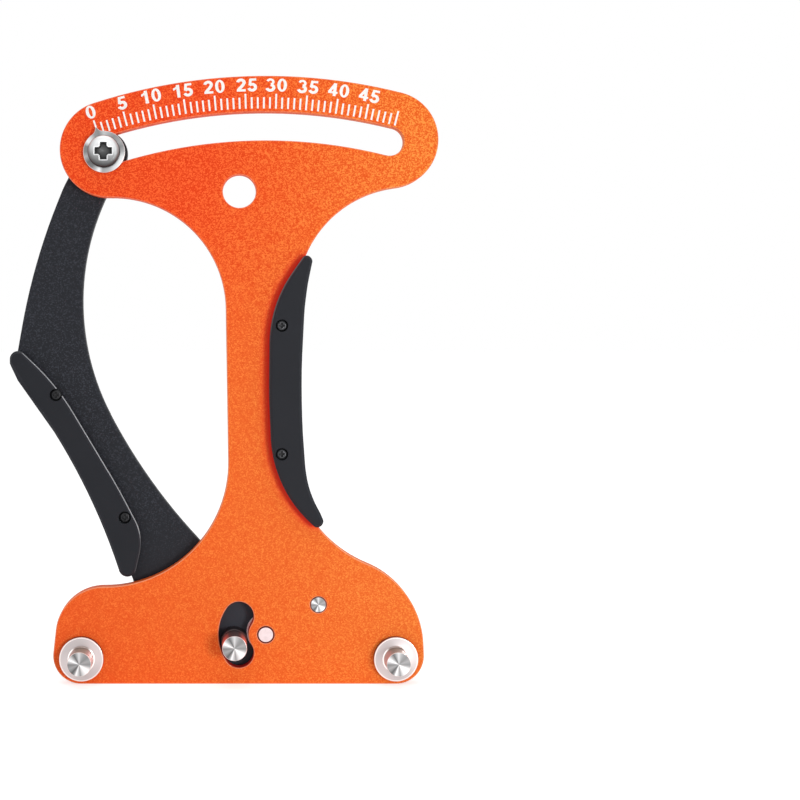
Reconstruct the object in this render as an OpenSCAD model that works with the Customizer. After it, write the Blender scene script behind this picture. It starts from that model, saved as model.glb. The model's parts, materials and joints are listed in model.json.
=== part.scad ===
// Spoke tension meter.
// A face plate carries a printed scale at its head and two fixed posts at its foot. A lever
// behind it turns on a pivot pin at the foot, holds a third post between the other two, and
// moves a pointer along the scale. A torsion spring drives the lever back to zero.
//
// Each piece is drawn flat, with the pivot at the origin, x to the right and y up the plate.
// Heights are along z: 0 is the plate's back face, and the front is on the positive side.
// upright() then stands the drawing up, with the hanging hole's middle at the model's origin.

/* [Face plate] */
// Thickness of the face plate
plate_t = 3; // [2.5:0.1:3.6]
// Outer radius of the head, from the pivot
head_r = 139.8; // [130:0.1:150]
// Radius of the head's two round ends
lobe_r = 12.1; // [11.5:0.1:12.6]
// Angle of the head's left end, from straight up
head_left = 18; // [17:0.1:19]
// Angle of the head's right end, from straight up
head_right = 14.1; // [13.5:0.1:15]
// Radius of the two hollows under the head
neck_r = 28.3; // [26:0.1:30]
// Distance from the pivot's upright to the left edge under the head
neck_left = 10; // [9:0.1:11]
// Distance from the pivot's upright to the right edge under the head
neck_right = 7.8; // [7:0.1:9]
// Radius of the two hollows above the foot
ankle_r = 30.8; // [29:0.1:33]
// Distance from the pivot's upright to the left edge of the waist
waist_left = 9.4; // [8.5:0.1:10.5]
// Distance from the pivot's upright to the right edge of the waist
waist_right = 6.4; // [6:0.1:7.2]
// Radius of the foot's left shoulder
shoulder_left_r = 12.1; // [11:0.1:13]
// Radius of the foot's right shoulder
shoulder_right_r = 22.5; // [21.8:0.1:23]
// Radius of the foot's two lower corners
foot_r = 7; // [6:0.1:7.4]
// Distance from the pivot down to the foot's straight edge
foot_bottom = 12.3; // [12:0.1:13.5]
// Diameter of the hanging hole
hang_d = 8.3; // [6:0.1:10]
// Distance from the head's outer edge down to the middle of the hanging hole
hang_drop = 28.9; // [26.5:0.1:31]

/* [Scale] */
// Distance from the head's outer edge to the middle of the scale slot
slot_drop = 12.6; // [11.5:0.1:14]
// Angle of the pointer at zero, from straight up
scale_left = 18.5; // [17.5:0.1:19]
// Angle that the lever turns through, from zero to the stop
travel = 32.6; // [28:0.1:33]

/* [Posts] */
// Distance between the two fixed posts
post_spacing = 78.4; // [77:0.1:80]
// Diameter of the fixed posts
post_d = 6; // [5:0.1:7]
// Height of the posts above the plate's front face
post_h = 6.5; // [5.5:0.1:9]
// Diameter of the flange under each fixed post
flange_d = 11; // [9.5:0.1:12]
// Thickness of the flange under each fixed post
flange_t = 1.5; // [1:0.1:2]
// Diameter of the moving post
moving_d = 6.1; // [5.5:0.1:6.4]
// Distance from the pivot to the moving post
moving_arm = 8.1; // [7.9:0.1:8.8]
// Angle of the moving post below the level line through the pivot, at zero
moving_drop = 13.5; // [10:0.1:16]
// Room between the moving post and the sides of its curved slot
kidney_gap = 0.65; // [0.4:0.05:0.8]

/* [Lever] */
// Thickness of the lever
lever_t = 3; // [2.5:0.1:3.5]
// Radius of the lever's eye round the pivot
eye_r = 12.2; // [11.9:0.1:12.4]
// Thickness of the spacer between plate and lever
spacer_t = 0.5; // [0.4:0.1:1]
// Diameter of the spacer
spacer_d = 9.6; // [8:0.1:10.5]
// Diameter of the pivot pin
pivot_d = 4.2; // [3.6:0.1:5]

/* [Spring] */
// Diameter of the spring's wire
wire_d = 1.6; // [1:0.1:1.8]
// Radius of the coil, to the middle of the wire
coil_r = 6; // [5.5:0.1:6.4]
// Whole turns of the coil, beside the part turn between its legs
coil_turns = 2; // [1:1:4]
// Air between one turn and the next
coil_gap = 0.5; // [0.45:0.05:0.8]
// Length of each of the spring's straight legs
leg_l = 15.6; // [14.5:0.1:18]
// Diameter of the two pins that hold the legs
anchor_d = 4; // [3:0.1:4.2]

/* [Grips] */
// Thickness of each grip shell over the sheet that it covers
grip_t = 3; // [2.5:0.1:4]
// Bevel round the outer face of each grip shell
grip_bevel = 0.6; // [0.3:0.1:1]
// Diameter of the grip screws' heads
grip_head_d = 2.7; // [2.4:0.1:3.2]

/* [Pointer] */
// Diameter of the pointer's round body
pointer_d = 10.4; // [9.8:0.1:10.8]
// Distance from the screw to the pointer's tip
pointer_reach = 6.5; // [6.2:0.1:7.5]
// Thickness of the pointer
pointer_t = 0.9; // [0.6:0.1:1.5]
// Outer diameter of the bush that slides in the scale slot
bush_d = 6.9; // [6:0.1:7.4]
// Thread diameter of the pointer screw and of the post screws
screw_d = 4; // [3:0.1:4]
// Diameter of these screws' heads
head_d = 8; // [7:0.1:8.4]
// Height of these screws' heads
head_h = 2.5; // [1.8:0.1:3]

/* [Hidden] */
$fn = 64;

// Clearances
running_fit = 0.05;
slide_fit = 0.1;
grip_fit = 0.1;
screw_room = 0.1;
face_gap = 0.25;
overrun = 1;
cutter_room = 0.3;
// Greatest distance between an outline's arc and its chords
chord_error = 0.01;
// Shortest side that an outline keeps
least_side = 0.002;

// Places on the plate
hang = [-6.6, head_r - hang_drop];
scale_r = head_r - slot_drop;
posts_middle = -6.8;
post_level = -5.8;
left_place = [posts_middle - post_spacing / 2, post_level];
right_place = [posts_middle + post_spacing / 2, post_level];
moving_place = polar(moving_arm, 180 + moving_drop);
pointer_place = polar(scale_r, 90 + scale_left);
anchor_place = [13.15, 7.5];
lever_anchor_place = [-13.15, 7.5];

// Heights of the layers, front to back
post_top = plate_t + post_h;
lever_front = -spacer_t - running_fit;
lever_back = lever_front - lever_t;
leg_front = lever_back - 0.3 - wire_d / 2;
pitch = wire_d + coil_gap;

// Outline of the plate: circles as [x, y, radius], taken counter-clockwise. A hollow has a
// negative radius. The straight runs and the points where they touch follow from the circles.
left_lobe = round_at(polar(head_r - lobe_r, 90 + head_left), lobe_r);
right_lobe = round_at(polar(head_r - lobe_r, 90 - head_right), lobe_r);
left_shoulder = round_at(left_place + [5.5, 5.7], shoulder_left_r);
right_shoulder = round_at(right_place + [-15.4, 2.6], shoulder_right_r);
foot_out = 0.2;
plate_arcs = [
    [left_place.x - foot_out, foot_r - foot_bottom, foot_r],
    [right_place.x + foot_out, foot_r - foot_bottom, foot_r],
    right_shoulder,
    hollow_at(right_shoulder, ankle_r, waist_right + ankle_r, 1),
    hollow_at(right_lobe, neck_r, neck_right + neck_r, -1),
    right_lobe,
    round_at([0, 0], head_r),
    left_lobe,
    hollow_at(left_lobe, neck_r, -neck_left - neck_r, -1),
    hollow_at(left_shoulder, ankle_r, -waist_left - ankle_r, 1),
    left_shoulder
];

// The slot that guides the pointer's bush, and the curved slot round the moving post
slot_arcs = arc_slot(scale_r, bush_d / 2 + slide_fit, 90 + scale_left - travel, 90 + scale_left);
kidney_half = 34;
kidney_arcs = arc_slot(moving_arm, moving_d / 2 + kidney_gap, 180 - kidney_half,
                       180 + kidney_half);

// Outline of the lever: eye, inner edge, tip under the pointer, outer edge, knee and elbow.
// Long pieces are drawn in shares of the head's radius, so that they reach from foot to head.
eye_fillet = 15;
lever_arcs = [
    [0, 0, eye_r],
    [0, eye_r + eye_fillet, -eye_fillet],
    head_r * [0.62375, 0.86338, -1.02003],
    head_r * [0.11302, 0.59657, -0.44349],
    round_at(pointer_place + [0, 0.25], 5.5),
    head_r * [-0.23605, 0.74392, 0.14163],
    head_r * [0.67096, 0.35551, 1.12804],
    head_r * [-0.43705, 0.48069, 0.01502],
    head_r * [-1.32403, -0.2804, -1.14735],
    head_r * [-0.15737, 0.02861, 0.05866]
];

// Outlines of the two grips. The right one keeps its place beside the plate's waist.
waist_edge = [waist_right, 0, 0];
right_grip_arcs = [
    waist_edge + head_r * [0.04506, 0.20386, 0.0093],
    waist_edge + head_r * [0.21173, 0.31831, -0.19242],
    waist_edge + head_r * [1.62089, 0.43991, -1.60587],
    waist_edge + head_r * [0.38984, 0.55508, -0.37124],
    waist_edge + head_r * [0.02647, 0.66881, 0.00858],
    waist_edge + head_r * [0.1824, 0.51931, 0.22175],
    waist_edge + head_r * [0.86552, 0.44206, 0.90558],
    waist_edge + head_r * [0.17668, 0.36123, 0.21388]
];
left_grip_arcs = head_r * [
    [-0.24821, 0.11803, 0.01574],
    [-0.30973, 0.16381, 0.08584],
    [-1.14163, -0.22747, 1.00429],
    [-0.69814, 0.18598, 0.4113],
    [-0.44492, 0.49285, 0.01431],
    [-1.33691, -0.23891, -1.13019]
];
right_screws = [for (height = [0.55293, 0.32475]) [waist_right - 2.5, head_r * height]];
left_screws = head_r * [[-0.37625, 0.42847], [-0.2525, 0.20887]];
grip_screw_d = 1.6;
grip_head_h = 1;
grip_recess = 0.4;

// Spring: each leg passes its pin on the side towards the other leg
leg_offset = coil_r + wire_d / 2 + anchor_d / 2 + running_fit;
leg_tilt = acos(-leg_offset / norm(anchor_place)) + atan2(anchor_place.y, anchor_place.x) - 90;
coil_start = 270 - leg_tilt;
coil_sweep = 360 * coil_turns + 2 * leg_tilt;
rings_per_turn = 8;
wire_sides = 6;
coil_rings = ceil(rings_per_turn * coil_sweep / 360);
coil_drop = pitch * coil_sweep / 360;
leg_back = leg_front - coil_drop;
leg_dir = polar(1, leg_tilt);
sleeve_r = coil_r * cos(180 / rings_per_turn) - wire_d / 2 - 0.5;
sleeve_back = leg_back - wire_d / 2 - 0.3;
washer_t = 0.8;
washer_back = sleeve_back - washer_t;
clip_t = 0.6;
clip_back = washer_back - clip_t;
clip_bore = pivot_d - 1;
clip_d = 9;
pin_end = clip_back - 0.9;
pin_edge = 0.3;

// Posts, pointer and nut
post_fillet = 0.35;
post_edge = 0.25;
thread_depth = post_h - 2;
rivet_d = 4.4;
collar_d = moving_d + 0.4;
collar_top = plate_t - lever_front + 0.1;
pointer_back = plate_t + face_gap;
pointer_front = pointer_back + pointer_t;
pointer_disk = [0, 0, pointer_d / 2];
pointer_tip = [0, pointer_reach - 0.2, 0.2];
pointer_arcs = [
    pointer_disk,
    hollow_between(pointer_disk, pointer_tip, 1.8, 1),
    pointer_tip,
    hollow_between(pointer_disk, pointer_tip, 1.8, -1)
];
nut_flats = screw_d * 1.75;
nut_t = 2.2;

// Colours
orange = [0.96, 0.33, 0.12];
charcoal = [0.17, 0.18, 0.20];
plastic = [0.20, 0.21, 0.23];
steel = [0.78, 0.79, 0.80];
nylon = [0.88, 0.87, 0.83];

function polar(r, a) = [r * cos(a), r * sin(a)];
function round_at(place, r) = [place.x, place.y, r];

// A hollow of radius r whose centre has the given x and that touches circle c from side 1,
// above it, or side -1, below it
function hollow_at(c, r, x, side) =
    [x, c.y + side * sqrt(pow(r + c.z, 2) - pow(x - c.x, 2)), -r];

// A hollow of radius r that touches circle a and circle b straight above it, on the right
// (side 1) or on the left (side -1)
function hollow_between(a, b, r, side) =
    let (gap = b.y - a.y,
         rise = (pow(a.z + r, 2) - pow(b.z + r, 2) + pow(gap, 2)) / (2 * gap))
    [a.x + side * sqrt(pow(a.z + r, 2) - pow(rise, 2)), a.y + rise, -r];

// The same outline moved outwards by d
function grow(arcs, d) = [for (c = arcs) [c.x, c.y, c.z + d]];

// A slot of half width w along an arc of radius r round the pivot
function arc_slot(r, w, from, to) = [
    round_at(polar(r, from), w), [0, 0, r + w], round_at(polar(r, to), w), [0, 0, w - r]
];

// Direction of the straight run that leaves circle a and reaches circle b
function run_angle(a, b) =
    let (gap = [b.x - a.x, b.y - a.y])
    atan2(gap.y, gap.x) - asin(max(-1, min(1, (b.z - a.z) / norm(gap))));

// An angle brought into one turn, where a turn that only rounding fills counts as none
function one_turn(a) =
    let (w = a - 360 * floor(a / 360))
    w > 359.9 ? 0 : w;

// Points on circle c between the runs that reach and leave it, moved inwards by inset
function arc_points(c, reach, leave, inset) =
    let (turn = c.z > 0 ? one_turn(leave - reach) : -one_turn(reach - leave),
         steps = max(1, ceil(abs(turn) / (2 * acos(1 - chord_error / abs(c.z))))))
    [for (i = [0:steps]) [c.x, c.y] + polar(c.z - inset, reach + turn * i / steps - 90)];

// Closed outline through all circles, as a list of points
function outline(arcs, inset = 0) =
    let (n = len(arcs),
         runs = [for (i = [0:n - 1]) run_angle(arcs[i], arcs[(i + 1) % n])],
         whole = [for (i = [0:n - 1]) each arc_points(arcs[i], runs[(i + n - 1) % n], runs[i], 0)],
         moved = [for (i = [0:n - 1])
                  each arc_points(arcs[i], runs[(i + n - 1) % n], runs[i], inset)],
         m = len(whole))
    [for (i = [0:m - 1]) if (norm(whole[i] - whole[(i + 1) % m]) > least_side) moved[i]];

function at_height(points, h) = [for (p = points) [p.x, p.y, h]];

// Stands the flat drawing up and puts the middle of the hanging hole at the origin
module upright() {
    translate([-hang.x, plate_t / 2, -hang.y]) rotate([90, 0, 0]) children();
}

module slab(arcs, from, to) {
    translate([0, 0, from]) linear_extrude(to - from) polygon(outline(arcs));
}

module rod(place, d, from, to) {
    translate([place.x, place.y, from]) cylinder(d = d, h = to - from);
}

module turned(place, from, profile) {
    translate([place.x, place.y, from]) rotate_extrude() polygon(profile);
}

// Ring with a three-sided section that cuts a bevel round a slab's upper edge
module edge_cutter(arcs, top, bevel) {
    outer = outline(arcs, -cutter_room);
    inner = outline(arcs, bevel + cutter_room);
    n = len(outer);
    points = concat(at_height(outer, top - bevel - cutter_room),
                    at_height(inner, top + cutter_room), at_height(outer, top + cutter_room));
    faces = [for (k = [0:2], i = [0:n - 1])
             let (j = (i + 1) % n, next = (k + 1) % 3)
             each [[k * n + i, k * n + j, next * n + j], [k * n + i, next * n + j, next * n + i]]];
    polyhedron(points, faces);
}

// Slab whose upper edge is bevelled all round
module bevelled_slab(arcs, from, to, bevel) {
    difference() {
        slab(arcs, from, to);
        edge_cutter(arcs, to, bevel);
    }
}

// Cross recess, cut down from height 0
module cross_recess(d, arm) {
    depth = d * 0.45;
    intersection() {
        union() {
            translate([-d / 2, -arm / 2, -depth]) cube([d, arm, depth + overrun]);
            translate([-arm / 2, -d / 2, -depth]) cube([arm, d, depth + overrun]);
        }
        translate([0, 0, -depth]) cylinder(d1 = d * 0.5, d2 = d * 1.5, h = depth * 2);
    }
}

// Pan head screw with its head's underside at height 0 and its shank below
module pan_screw(place, under, d, h, shank_d, length) {
    corner = h * 0.5;
    crown = h * 0.06;
    translate([place.x, place.y, under]) difference() {
        rotate_extrude() polygon(concat(
            [[0, -length], [shank_d / 2 - 0.3, -length], [shank_d / 2, 0.3 - length],
             [shank_d / 2, 0], [d / 2, 0]],
            [for (a = [0:15:90]) [d / 2 - corner, h - crown - corner] + polar(corner, a)],
            [[0, h]]));
        translate([0, 0, h]) cross_recess(d * 0.52, d * 0.19);
    }
}

module face_plate() {
    color(orange) upright() difference() {
        slab(plate_arcs, 0, plate_t);
        slab(slot_arcs, -overrun, plate_t + overrun);
        slab(kidney_arcs, -overrun, plate_t + overrun);
        rod(hang, hang_d, -overrun, plate_t + overrun);
        rod([0, 0], pivot_d, -overrun, plate_t + overrun);
        rod(anchor_place, anchor_d, -overrun, plate_t + overrun);
        for (place = [left_place, right_place])
            rod(place, screw_d + 2 * screw_room, -overrun, plate_t + overrun);
        for (place = right_screws)
            rod(place, grip_screw_d + 2 * screw_room, -overrun, plate_t + overrun);
    }
}

// Fixed post: flange, small fillet and post in one turned piece, tapped from behind
module fixed_post(place) {
    color(steel) upright() difference() {
        turned(place, plate_t, concat(
            [[0, 0], [flange_d / 2 - post_edge, 0], [flange_d / 2, post_edge],
             [flange_d / 2, flange_t - post_edge], [flange_d / 2 - post_edge, flange_t]],
            [for (a = [270:-22.5:180])
             [post_d / 2 + post_fillet, flange_t + post_fillet] + polar(post_fillet, a)],
            [[post_d / 2, post_h - post_edge], [post_d / 2 - post_edge, post_h], [0, post_h]]));
        rod(place, screw_d, plate_t - overrun, plate_t + thread_depth);
    }
}

module left_post() { fixed_post(left_place); }
module right_post() { fixed_post(right_place); }

// Screws that hold the fixed posts, with their heads on the plate's back
module post_screws() {
    color(steel) upright() for (place = [left_place, right_place])
        mirror([0, 0, 1])
            pan_screw(place, 0, head_d, head_h, screw_d, plate_t + thread_depth - 0.5);
}

// Pivot pin, pressed into the plate and grooved for its clip
module pivot_pin() {
    color(steel) upright() difference() {
        turned([0, 0], pin_end, [
            [0, 0], [pivot_d / 2 - pin_edge, 0], [pivot_d / 2, pin_edge],
            [pivot_d / 2, plate_t - pin_end - pin_edge],
            [pivot_d / 2 - pin_edge, plate_t - pin_end], [0, plate_t - pin_end]]);
        difference() {
            rod([0, 0], pivot_d + overrun, clip_back - running_fit, washer_back);
            rod([0, 0], clip_bore, clip_back - overrun, washer_back + overrun);
        }
    }
}

module ring(inner, outer, from, to) {
    difference() {
        rod([0, 0], outer, from, to);
        rod([0, 0], inner, from - overrun, to + overrun);
    }
}

module pivot_spacer() {
    color(steel) upright() ring(pivot_d + 2 * running_fit, spacer_d, -spacer_t, 0);
}

// Plastic sleeve that keeps the coil centred behind the lever
module spring_sleeve() {
    color(nylon) upright()
        ring(pivot_d + 2 * running_fit, 2 * sleeve_r, sleeve_back, lever_back - running_fit);
}

module pivot_washer() {
    color(steel) upright()
        ring(pivot_d + 2 * running_fit, 2 * (coil_r + wire_d / 2), washer_back, sleeve_back);
}

// Retaining clip: a ring open to one side, with a mouth for the pin's groove
module pivot_clip() {
    color(charcoal) upright() difference() {
        rod([0, 0], clip_d, clip_back, washer_back);
        rod([0, 0], clip_bore, clip_back - overrun, washer_back + overrun);
        translate([-clip_bore * 0.45, -clip_d, clip_back - overrun])
            cube([clip_bore * 0.9, clip_d, clip_t + 2 * overrun]);
        for (side = [-1, 1])
            rod(side * [clip_d * 0.27, clip_d * 0.12], 1.4, clip_back - overrun,
                washer_back + overrun);
    }
}

// Pin for one leg of the spring, with bevelled ends
module leg_pin(place, from, to) {
    turned(place, from, [
        [0, 0], [anchor_d / 2 - pin_edge, 0], [anchor_d / 2, pin_edge],
        [anchor_d / 2, to - from - pin_edge], [anchor_d / 2 - pin_edge, to - from],
        [0, to - from]]);
}

module spring_anchor_pin() {
    color(steel) upright() leg_pin(anchor_place, leg_back - wire_d / 2 - 0.9, plate_t);
}

module lever_spring_pin() {
    color(steel) upright() leg_pin(lever_anchor_place, leg_front - wire_d / 2 - 0.9, lever_front);
}

// Torsion spring: a straight leg, the coil and the other straight leg, as one wound tube.
// Both legs leave the coil as tangents, so that pressing them together winds it tighter.
coil_path = [for (i = [0:coil_rings])
             let (p = polar(coil_r, coil_start + coil_sweep * i / coil_rings))
             [p.x, p.y, leg_front - coil_drop * i / coil_rings]];
spring_path = concat(
    [coil_path[0] + leg_l * [-leg_dir.x, leg_dir.y, 0],
     coil_path[0] + wire_d * [-leg_dir.x, leg_dir.y, 0]],
    coil_path,
    [coil_path[coil_rings] + wire_d * [leg_dir.x, leg_dir.y, 0],
     coil_path[coil_rings] + leg_l * [leg_dir.x, leg_dir.y, 0]]);

function along(path, i) =
    let (last = len(path) - 1, d = path[min(i + 1, last)] - path[max(i - 1, 0)])
    d / norm(d);

// Six points round the wire at one station of its path
function wire_ring(path, i) =
    let (t = along(path, i), side = cross(t, [0, 0, 1]) / norm(cross(t, [0, 0, 1])),
         up = cross(side, t))
    [for (k = [0:wire_sides - 1])
     let (p = polar(wire_d / 2, 360 * k / wire_sides)) path[i] + p.x * side + p.y * up];

module tube(path) {
    n = len(path);
    s = wire_sides;
    points = [for (i = [0:n - 1]) each wire_ring(path, i)];
    sides = [for (i = [0:n - 2], k = [0:s - 1])
             let (a = i * s + k, b = i * s + (k + 1) % s)
             each [[a, b, b + s], [a, b + s, a + s]]];
    caps = [for (k = [1:s - 2]) each [[0, k + 1, k],
            [(n - 1) * s, (n - 1) * s + k, (n - 1) * s + k + 1]]];
    polyhedron(points, concat(sides, caps));
}

module torsion_spring() {
    color(steel) upright() tube(spring_path);
}

// Least air between two stretches of the wire that lie half a turn or more apart
least_air = min([for (i = [0:coil_rings], j = [0:coil_rings])
                 if (j - i >= rings_per_turn / 2) norm(coil_path[j] - coil_path[i])]) - wire_d;
echo(spring_least_gap = least_air);

// Front shell of a grip, over a sheet that lies between heights 0 and t. Its rim wraps the
// sheet's edge and meets the rear shell at the sheet's middle.
module shell(grip, sheet, t) {
    difference() {
        bevelled_slab(grip, t / 2, t + grip_t, grip_bevel);
        slab(grow(sheet, grip_fit), t / 2 - overrun, t);
    }
}

// Front shell, with a sunk seat for each screw
module front_shell(grip, sheet, t, screws) {
    difference() {
        shell(grip, sheet, t);
        for (place = screws) {
            rod(place, grip_screw_d + 2 * screw_room, 0, t + grip_t + overrun);
            rod(place, grip_head_d + 4 * screw_room, t + grip_t - grip_recess - grip_head_h,
                t + grip_t + overrun);
        }
    }
}

// Rear shell, with a blind pilot hole for each screw
module rear_shell(grip, sheet, t, screws) {
    translate([0, 0, t]) mirror([0, 0, 1]) difference() {
        shell(grip, sheet, t);
        for (place = screws)
            rod(place, grip_screw_d, 0, t + grip_t - 0.6);
    }
}

module grip_screws(t, screws) {
    under = t + grip_t - grip_recess - grip_head_h;
    for (place = screws)
        pan_screw(place, under, grip_head_d, grip_head_h, grip_screw_d, under + grip_t - 0.9);
}

module right_grip_front() {
    color(plastic) upright() front_shell(right_grip_arcs, plate_arcs, plate_t, right_screws);
}

module right_grip_rear() {
    color(plastic) upright() rear_shell(right_grip_arcs, plate_arcs, plate_t, right_screws);
}

module right_grip_screws() {
    color(charcoal) upright() grip_screws(plate_t, right_screws);
}

module left_grip_front() {
    color(plastic) upright() translate([0, 0, lever_back])
        front_shell(left_grip_arcs, lever_arcs, lever_t, left_screws);
}

module left_grip_rear() {
    color(plastic) upright() translate([0, 0, lever_back])
        rear_shell(left_grip_arcs, lever_arcs, lever_t, left_screws);
}

module left_grip_screws() {
    color(charcoal) upright() translate([0, 0, lever_back]) grip_screws(lever_t, left_screws);
}

module lever_arm() {
    color(charcoal) upright() difference() {
        slab(lever_arcs, lever_back, lever_front);
        rod([0, 0], pivot_d + 2 * running_fit, lever_back - overrun, lever_front + overrun);
        rod(moving_place, rivet_d, lever_back - overrun, lever_front + overrun);
        rod(lever_anchor_place, anchor_d, lever_back - overrun, lever_front + overrun);
        rod(pointer_place, screw_d, lever_back - overrun, lever_front + overrun);
        for (place = left_screws)
            rod(place, grip_screw_d + 2 * screw_room, lever_back - overrun,
                lever_front + overrun);
    }
}

// Moving post: a turned post on a collar that stands in the curved slot, riveted to the lever
module moving_post() {
    top = post_top - lever_front;
    color(steel) upright() turned(moving_place, lever_front, [
        [0, -lever_t], [rivet_d / 2, -lever_t], [rivet_d / 2, 0], [collar_d / 2, 0],
        [collar_d / 2, collar_top - 0.2], [moving_d / 2, collar_top],
        [moving_d / 2, top - post_edge], [moving_d / 2 - post_edge, top], [0, top]]);
}

// Pointer: a washer with a hollow-sided tip that points away from the pivot
module pointer() {
    color(steel) upright() difference() {
        translate([pointer_place.x, pointer_place.y, 0]) rotate(scale_left)
            slab(pointer_arcs, pointer_back, pointer_front);
        rod(pointer_place, screw_d + 2 * screw_room, pointer_back - overrun,
            pointer_front + overrun);
    }
}

module pointer_bush() {
    color(nylon) upright() difference() {
        rod(pointer_place, bush_d, lever_front, pointer_back);
        rod(pointer_place, screw_d + 2 * screw_room, lever_front - overrun,
            pointer_back + overrun);
    }
}

module pointer_screw() {
    color(steel) upright()
        pan_screw(pointer_place, pointer_front, head_d, head_h, screw_d,
                  pointer_front - lever_back + nut_t + 0.6);
}

// Thin lock nut with its corners rounded off on the outer face
module pointer_nut() {
    corner_r = nut_flats / 2 / cos(30);
    color(steel) upright() difference() {
        translate([pointer_place.x, pointer_place.y, lever_back - nut_t]) intersection() {
            rotate(scale_left) cylinder(r = corner_r, h = nut_t, $fn = 6);
            rotate_extrude() polygon([[0, 0], [nut_flats / 2 - 0.1, 0], [corner_r + 0.1, 0.4],
                                      [corner_r + 0.1, nut_t], [0, nut_t]]);
        }
        rod(pointer_place, screw_d, lever_back - nut_t - overrun, lever_back + overrun);
    }
}

face_plate();
left_post();
right_post();
post_screws();
pivot_pin();
pivot_spacer();
spring_anchor_pin();
spring_sleeve();
pivot_washer();
pivot_clip();
torsion_spring();
right_grip_front();
right_grip_rear();
right_grip_screws();
lever_arm();
moving_post();
lever_spring_pin();
left_grip_front();
left_grip_rear();
left_grip_screws();
pointer();
pointer_bush();
pointer_screw();
pointer_nut();
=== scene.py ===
import json
import math

import bpy
import numpy as np
from bpy.props import FloatProperty, FloatVectorProperty, IntProperty, PointerProperty
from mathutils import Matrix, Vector


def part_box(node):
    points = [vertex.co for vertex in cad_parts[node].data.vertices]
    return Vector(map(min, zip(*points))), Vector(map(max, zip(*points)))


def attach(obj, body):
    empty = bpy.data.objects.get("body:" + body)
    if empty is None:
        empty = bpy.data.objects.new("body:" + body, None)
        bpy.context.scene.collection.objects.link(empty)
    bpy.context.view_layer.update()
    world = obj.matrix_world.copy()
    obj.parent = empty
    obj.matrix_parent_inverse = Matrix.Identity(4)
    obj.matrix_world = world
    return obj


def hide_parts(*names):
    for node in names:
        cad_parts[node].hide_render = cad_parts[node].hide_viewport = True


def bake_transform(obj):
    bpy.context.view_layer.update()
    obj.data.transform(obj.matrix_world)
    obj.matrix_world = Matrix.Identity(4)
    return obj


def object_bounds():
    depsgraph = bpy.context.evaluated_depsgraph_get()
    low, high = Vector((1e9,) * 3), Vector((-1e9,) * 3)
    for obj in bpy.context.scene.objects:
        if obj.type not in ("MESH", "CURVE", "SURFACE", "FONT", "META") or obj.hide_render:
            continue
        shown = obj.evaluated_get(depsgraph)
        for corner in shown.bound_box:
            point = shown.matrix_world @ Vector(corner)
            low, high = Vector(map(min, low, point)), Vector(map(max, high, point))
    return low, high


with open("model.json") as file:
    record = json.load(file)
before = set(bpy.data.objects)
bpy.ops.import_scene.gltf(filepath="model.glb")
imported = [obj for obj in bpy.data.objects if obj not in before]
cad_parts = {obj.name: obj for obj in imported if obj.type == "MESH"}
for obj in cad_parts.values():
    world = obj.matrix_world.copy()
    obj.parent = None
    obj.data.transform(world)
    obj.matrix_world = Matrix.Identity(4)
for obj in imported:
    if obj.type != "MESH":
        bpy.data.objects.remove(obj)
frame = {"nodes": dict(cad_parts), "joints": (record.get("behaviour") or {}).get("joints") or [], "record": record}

# Looks of the spoke tension meter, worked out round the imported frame. The tool hangs upright:
# x runs to the right, z up the plate and y from the plate's front to its back, in metres.

bl_info = {
    "name": "Spoke tension meter",
    "version": (1, 0, 0),
    "blender": (4, 5, 0),
    "location": "3D View > Sidebar > Meter",
    "description": "Dresses the frame of a spoke tension meter with its coats, steels, "
                   "print and light",
    "category": "Object",
}

NODES = frame["nodes"]
MOUNTS = {mount["name"]: mount for mount in frame["record"]["mounts"]}
CAD_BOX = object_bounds()
MM = 0.001
PIVOT = np.array(frame["joints"][0]["pos_m"], float)
PLATE_FRONT, PLATE_BACK = (corner.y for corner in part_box("face_plate"))

# Points nearer to each other than this lie in one plane
FLAT = 2e-6
# Edges that turn by more than this stay crisp, on turned pieces and on mouldings and ink
CRISP = math.radians(50)
CRISP_MOULDING = math.radians(30)

# The picture: its side in pixels, a pixel's size on the plate's front, the pixels of the
# camera's own axis and of the pivot, the camera's distance from the plate's front, and the
# width of its film in millimetres
PICTURE = 800
PIXEL = 0.25 * MM
AXIS_PIXEL = (220.0, 325.0)
PIVOT_PIXEL = (265.8, 634.8)
CAMERA_DISTANCE = 0.330
FILM_WIDTH = 36

# The lamps: name, place, diameter and the setting that holds the power. They all look at one
# point, and the floor reaches so far to each side
LAMPS = (
    ("main_light", (0.27, -0.45, -0.08), 0.14, "key"),
    ("left_light", (-0.45, -0.45, 0.05), 0.45, "fill"),
    ("top_light", (0.0, -0.1, 0.5), 0.5, "top"),
)
LAMPS_AIM = (-0.004, 0, -0.05)
FLOOR_REACH = 4.0

# Radii of the turned parts: the ends that show painted wedges of light or are pale, the sides
# behind them, the rim of the flanges, where a highlight is painted, the fillet at a post's root
# and the pivot pin's groove
POST_END, PIN_END, PIVOT_END, POINTER_END = 0.00297, 0.00184, 0.0018, 0.0075
POST_SIDE, MOVING_SIDE = 0.00303, 0.0034
FLANGE_RIM = (0.00512, 0.00524)
FILLET = 0.00035
GROOVE = 0.0016
# The grip screws' heads and shanks, and the slope of the moving post's collar
GRIP_HEAD, GRIP_SHANK = 0.00135, 0.0008
COLLAR_SLOPE = 0.0002
# A pan head's shoulder and crown as shares of its height, and its cross recess as shares of
# its radius: half the cross, half an arm, the fillet between two arms, the wall and the depth
SHOULDER, CROWN = 0.5, 0.08
CROSS, ARM, ARM_FILLET, RECESS_WALL, RECESS_DEPTH = 0.52, 0.19, 0.10, 0.055, 0.40
# Room between the pivot pin and what it carries, and between the bush and its screw
PIN_ROOM, BUSH_ROOM = 0.00005, 0.0001
# Holes that span less than this get painted shade on their walls
SMALL_HOLE = 0.02
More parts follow.
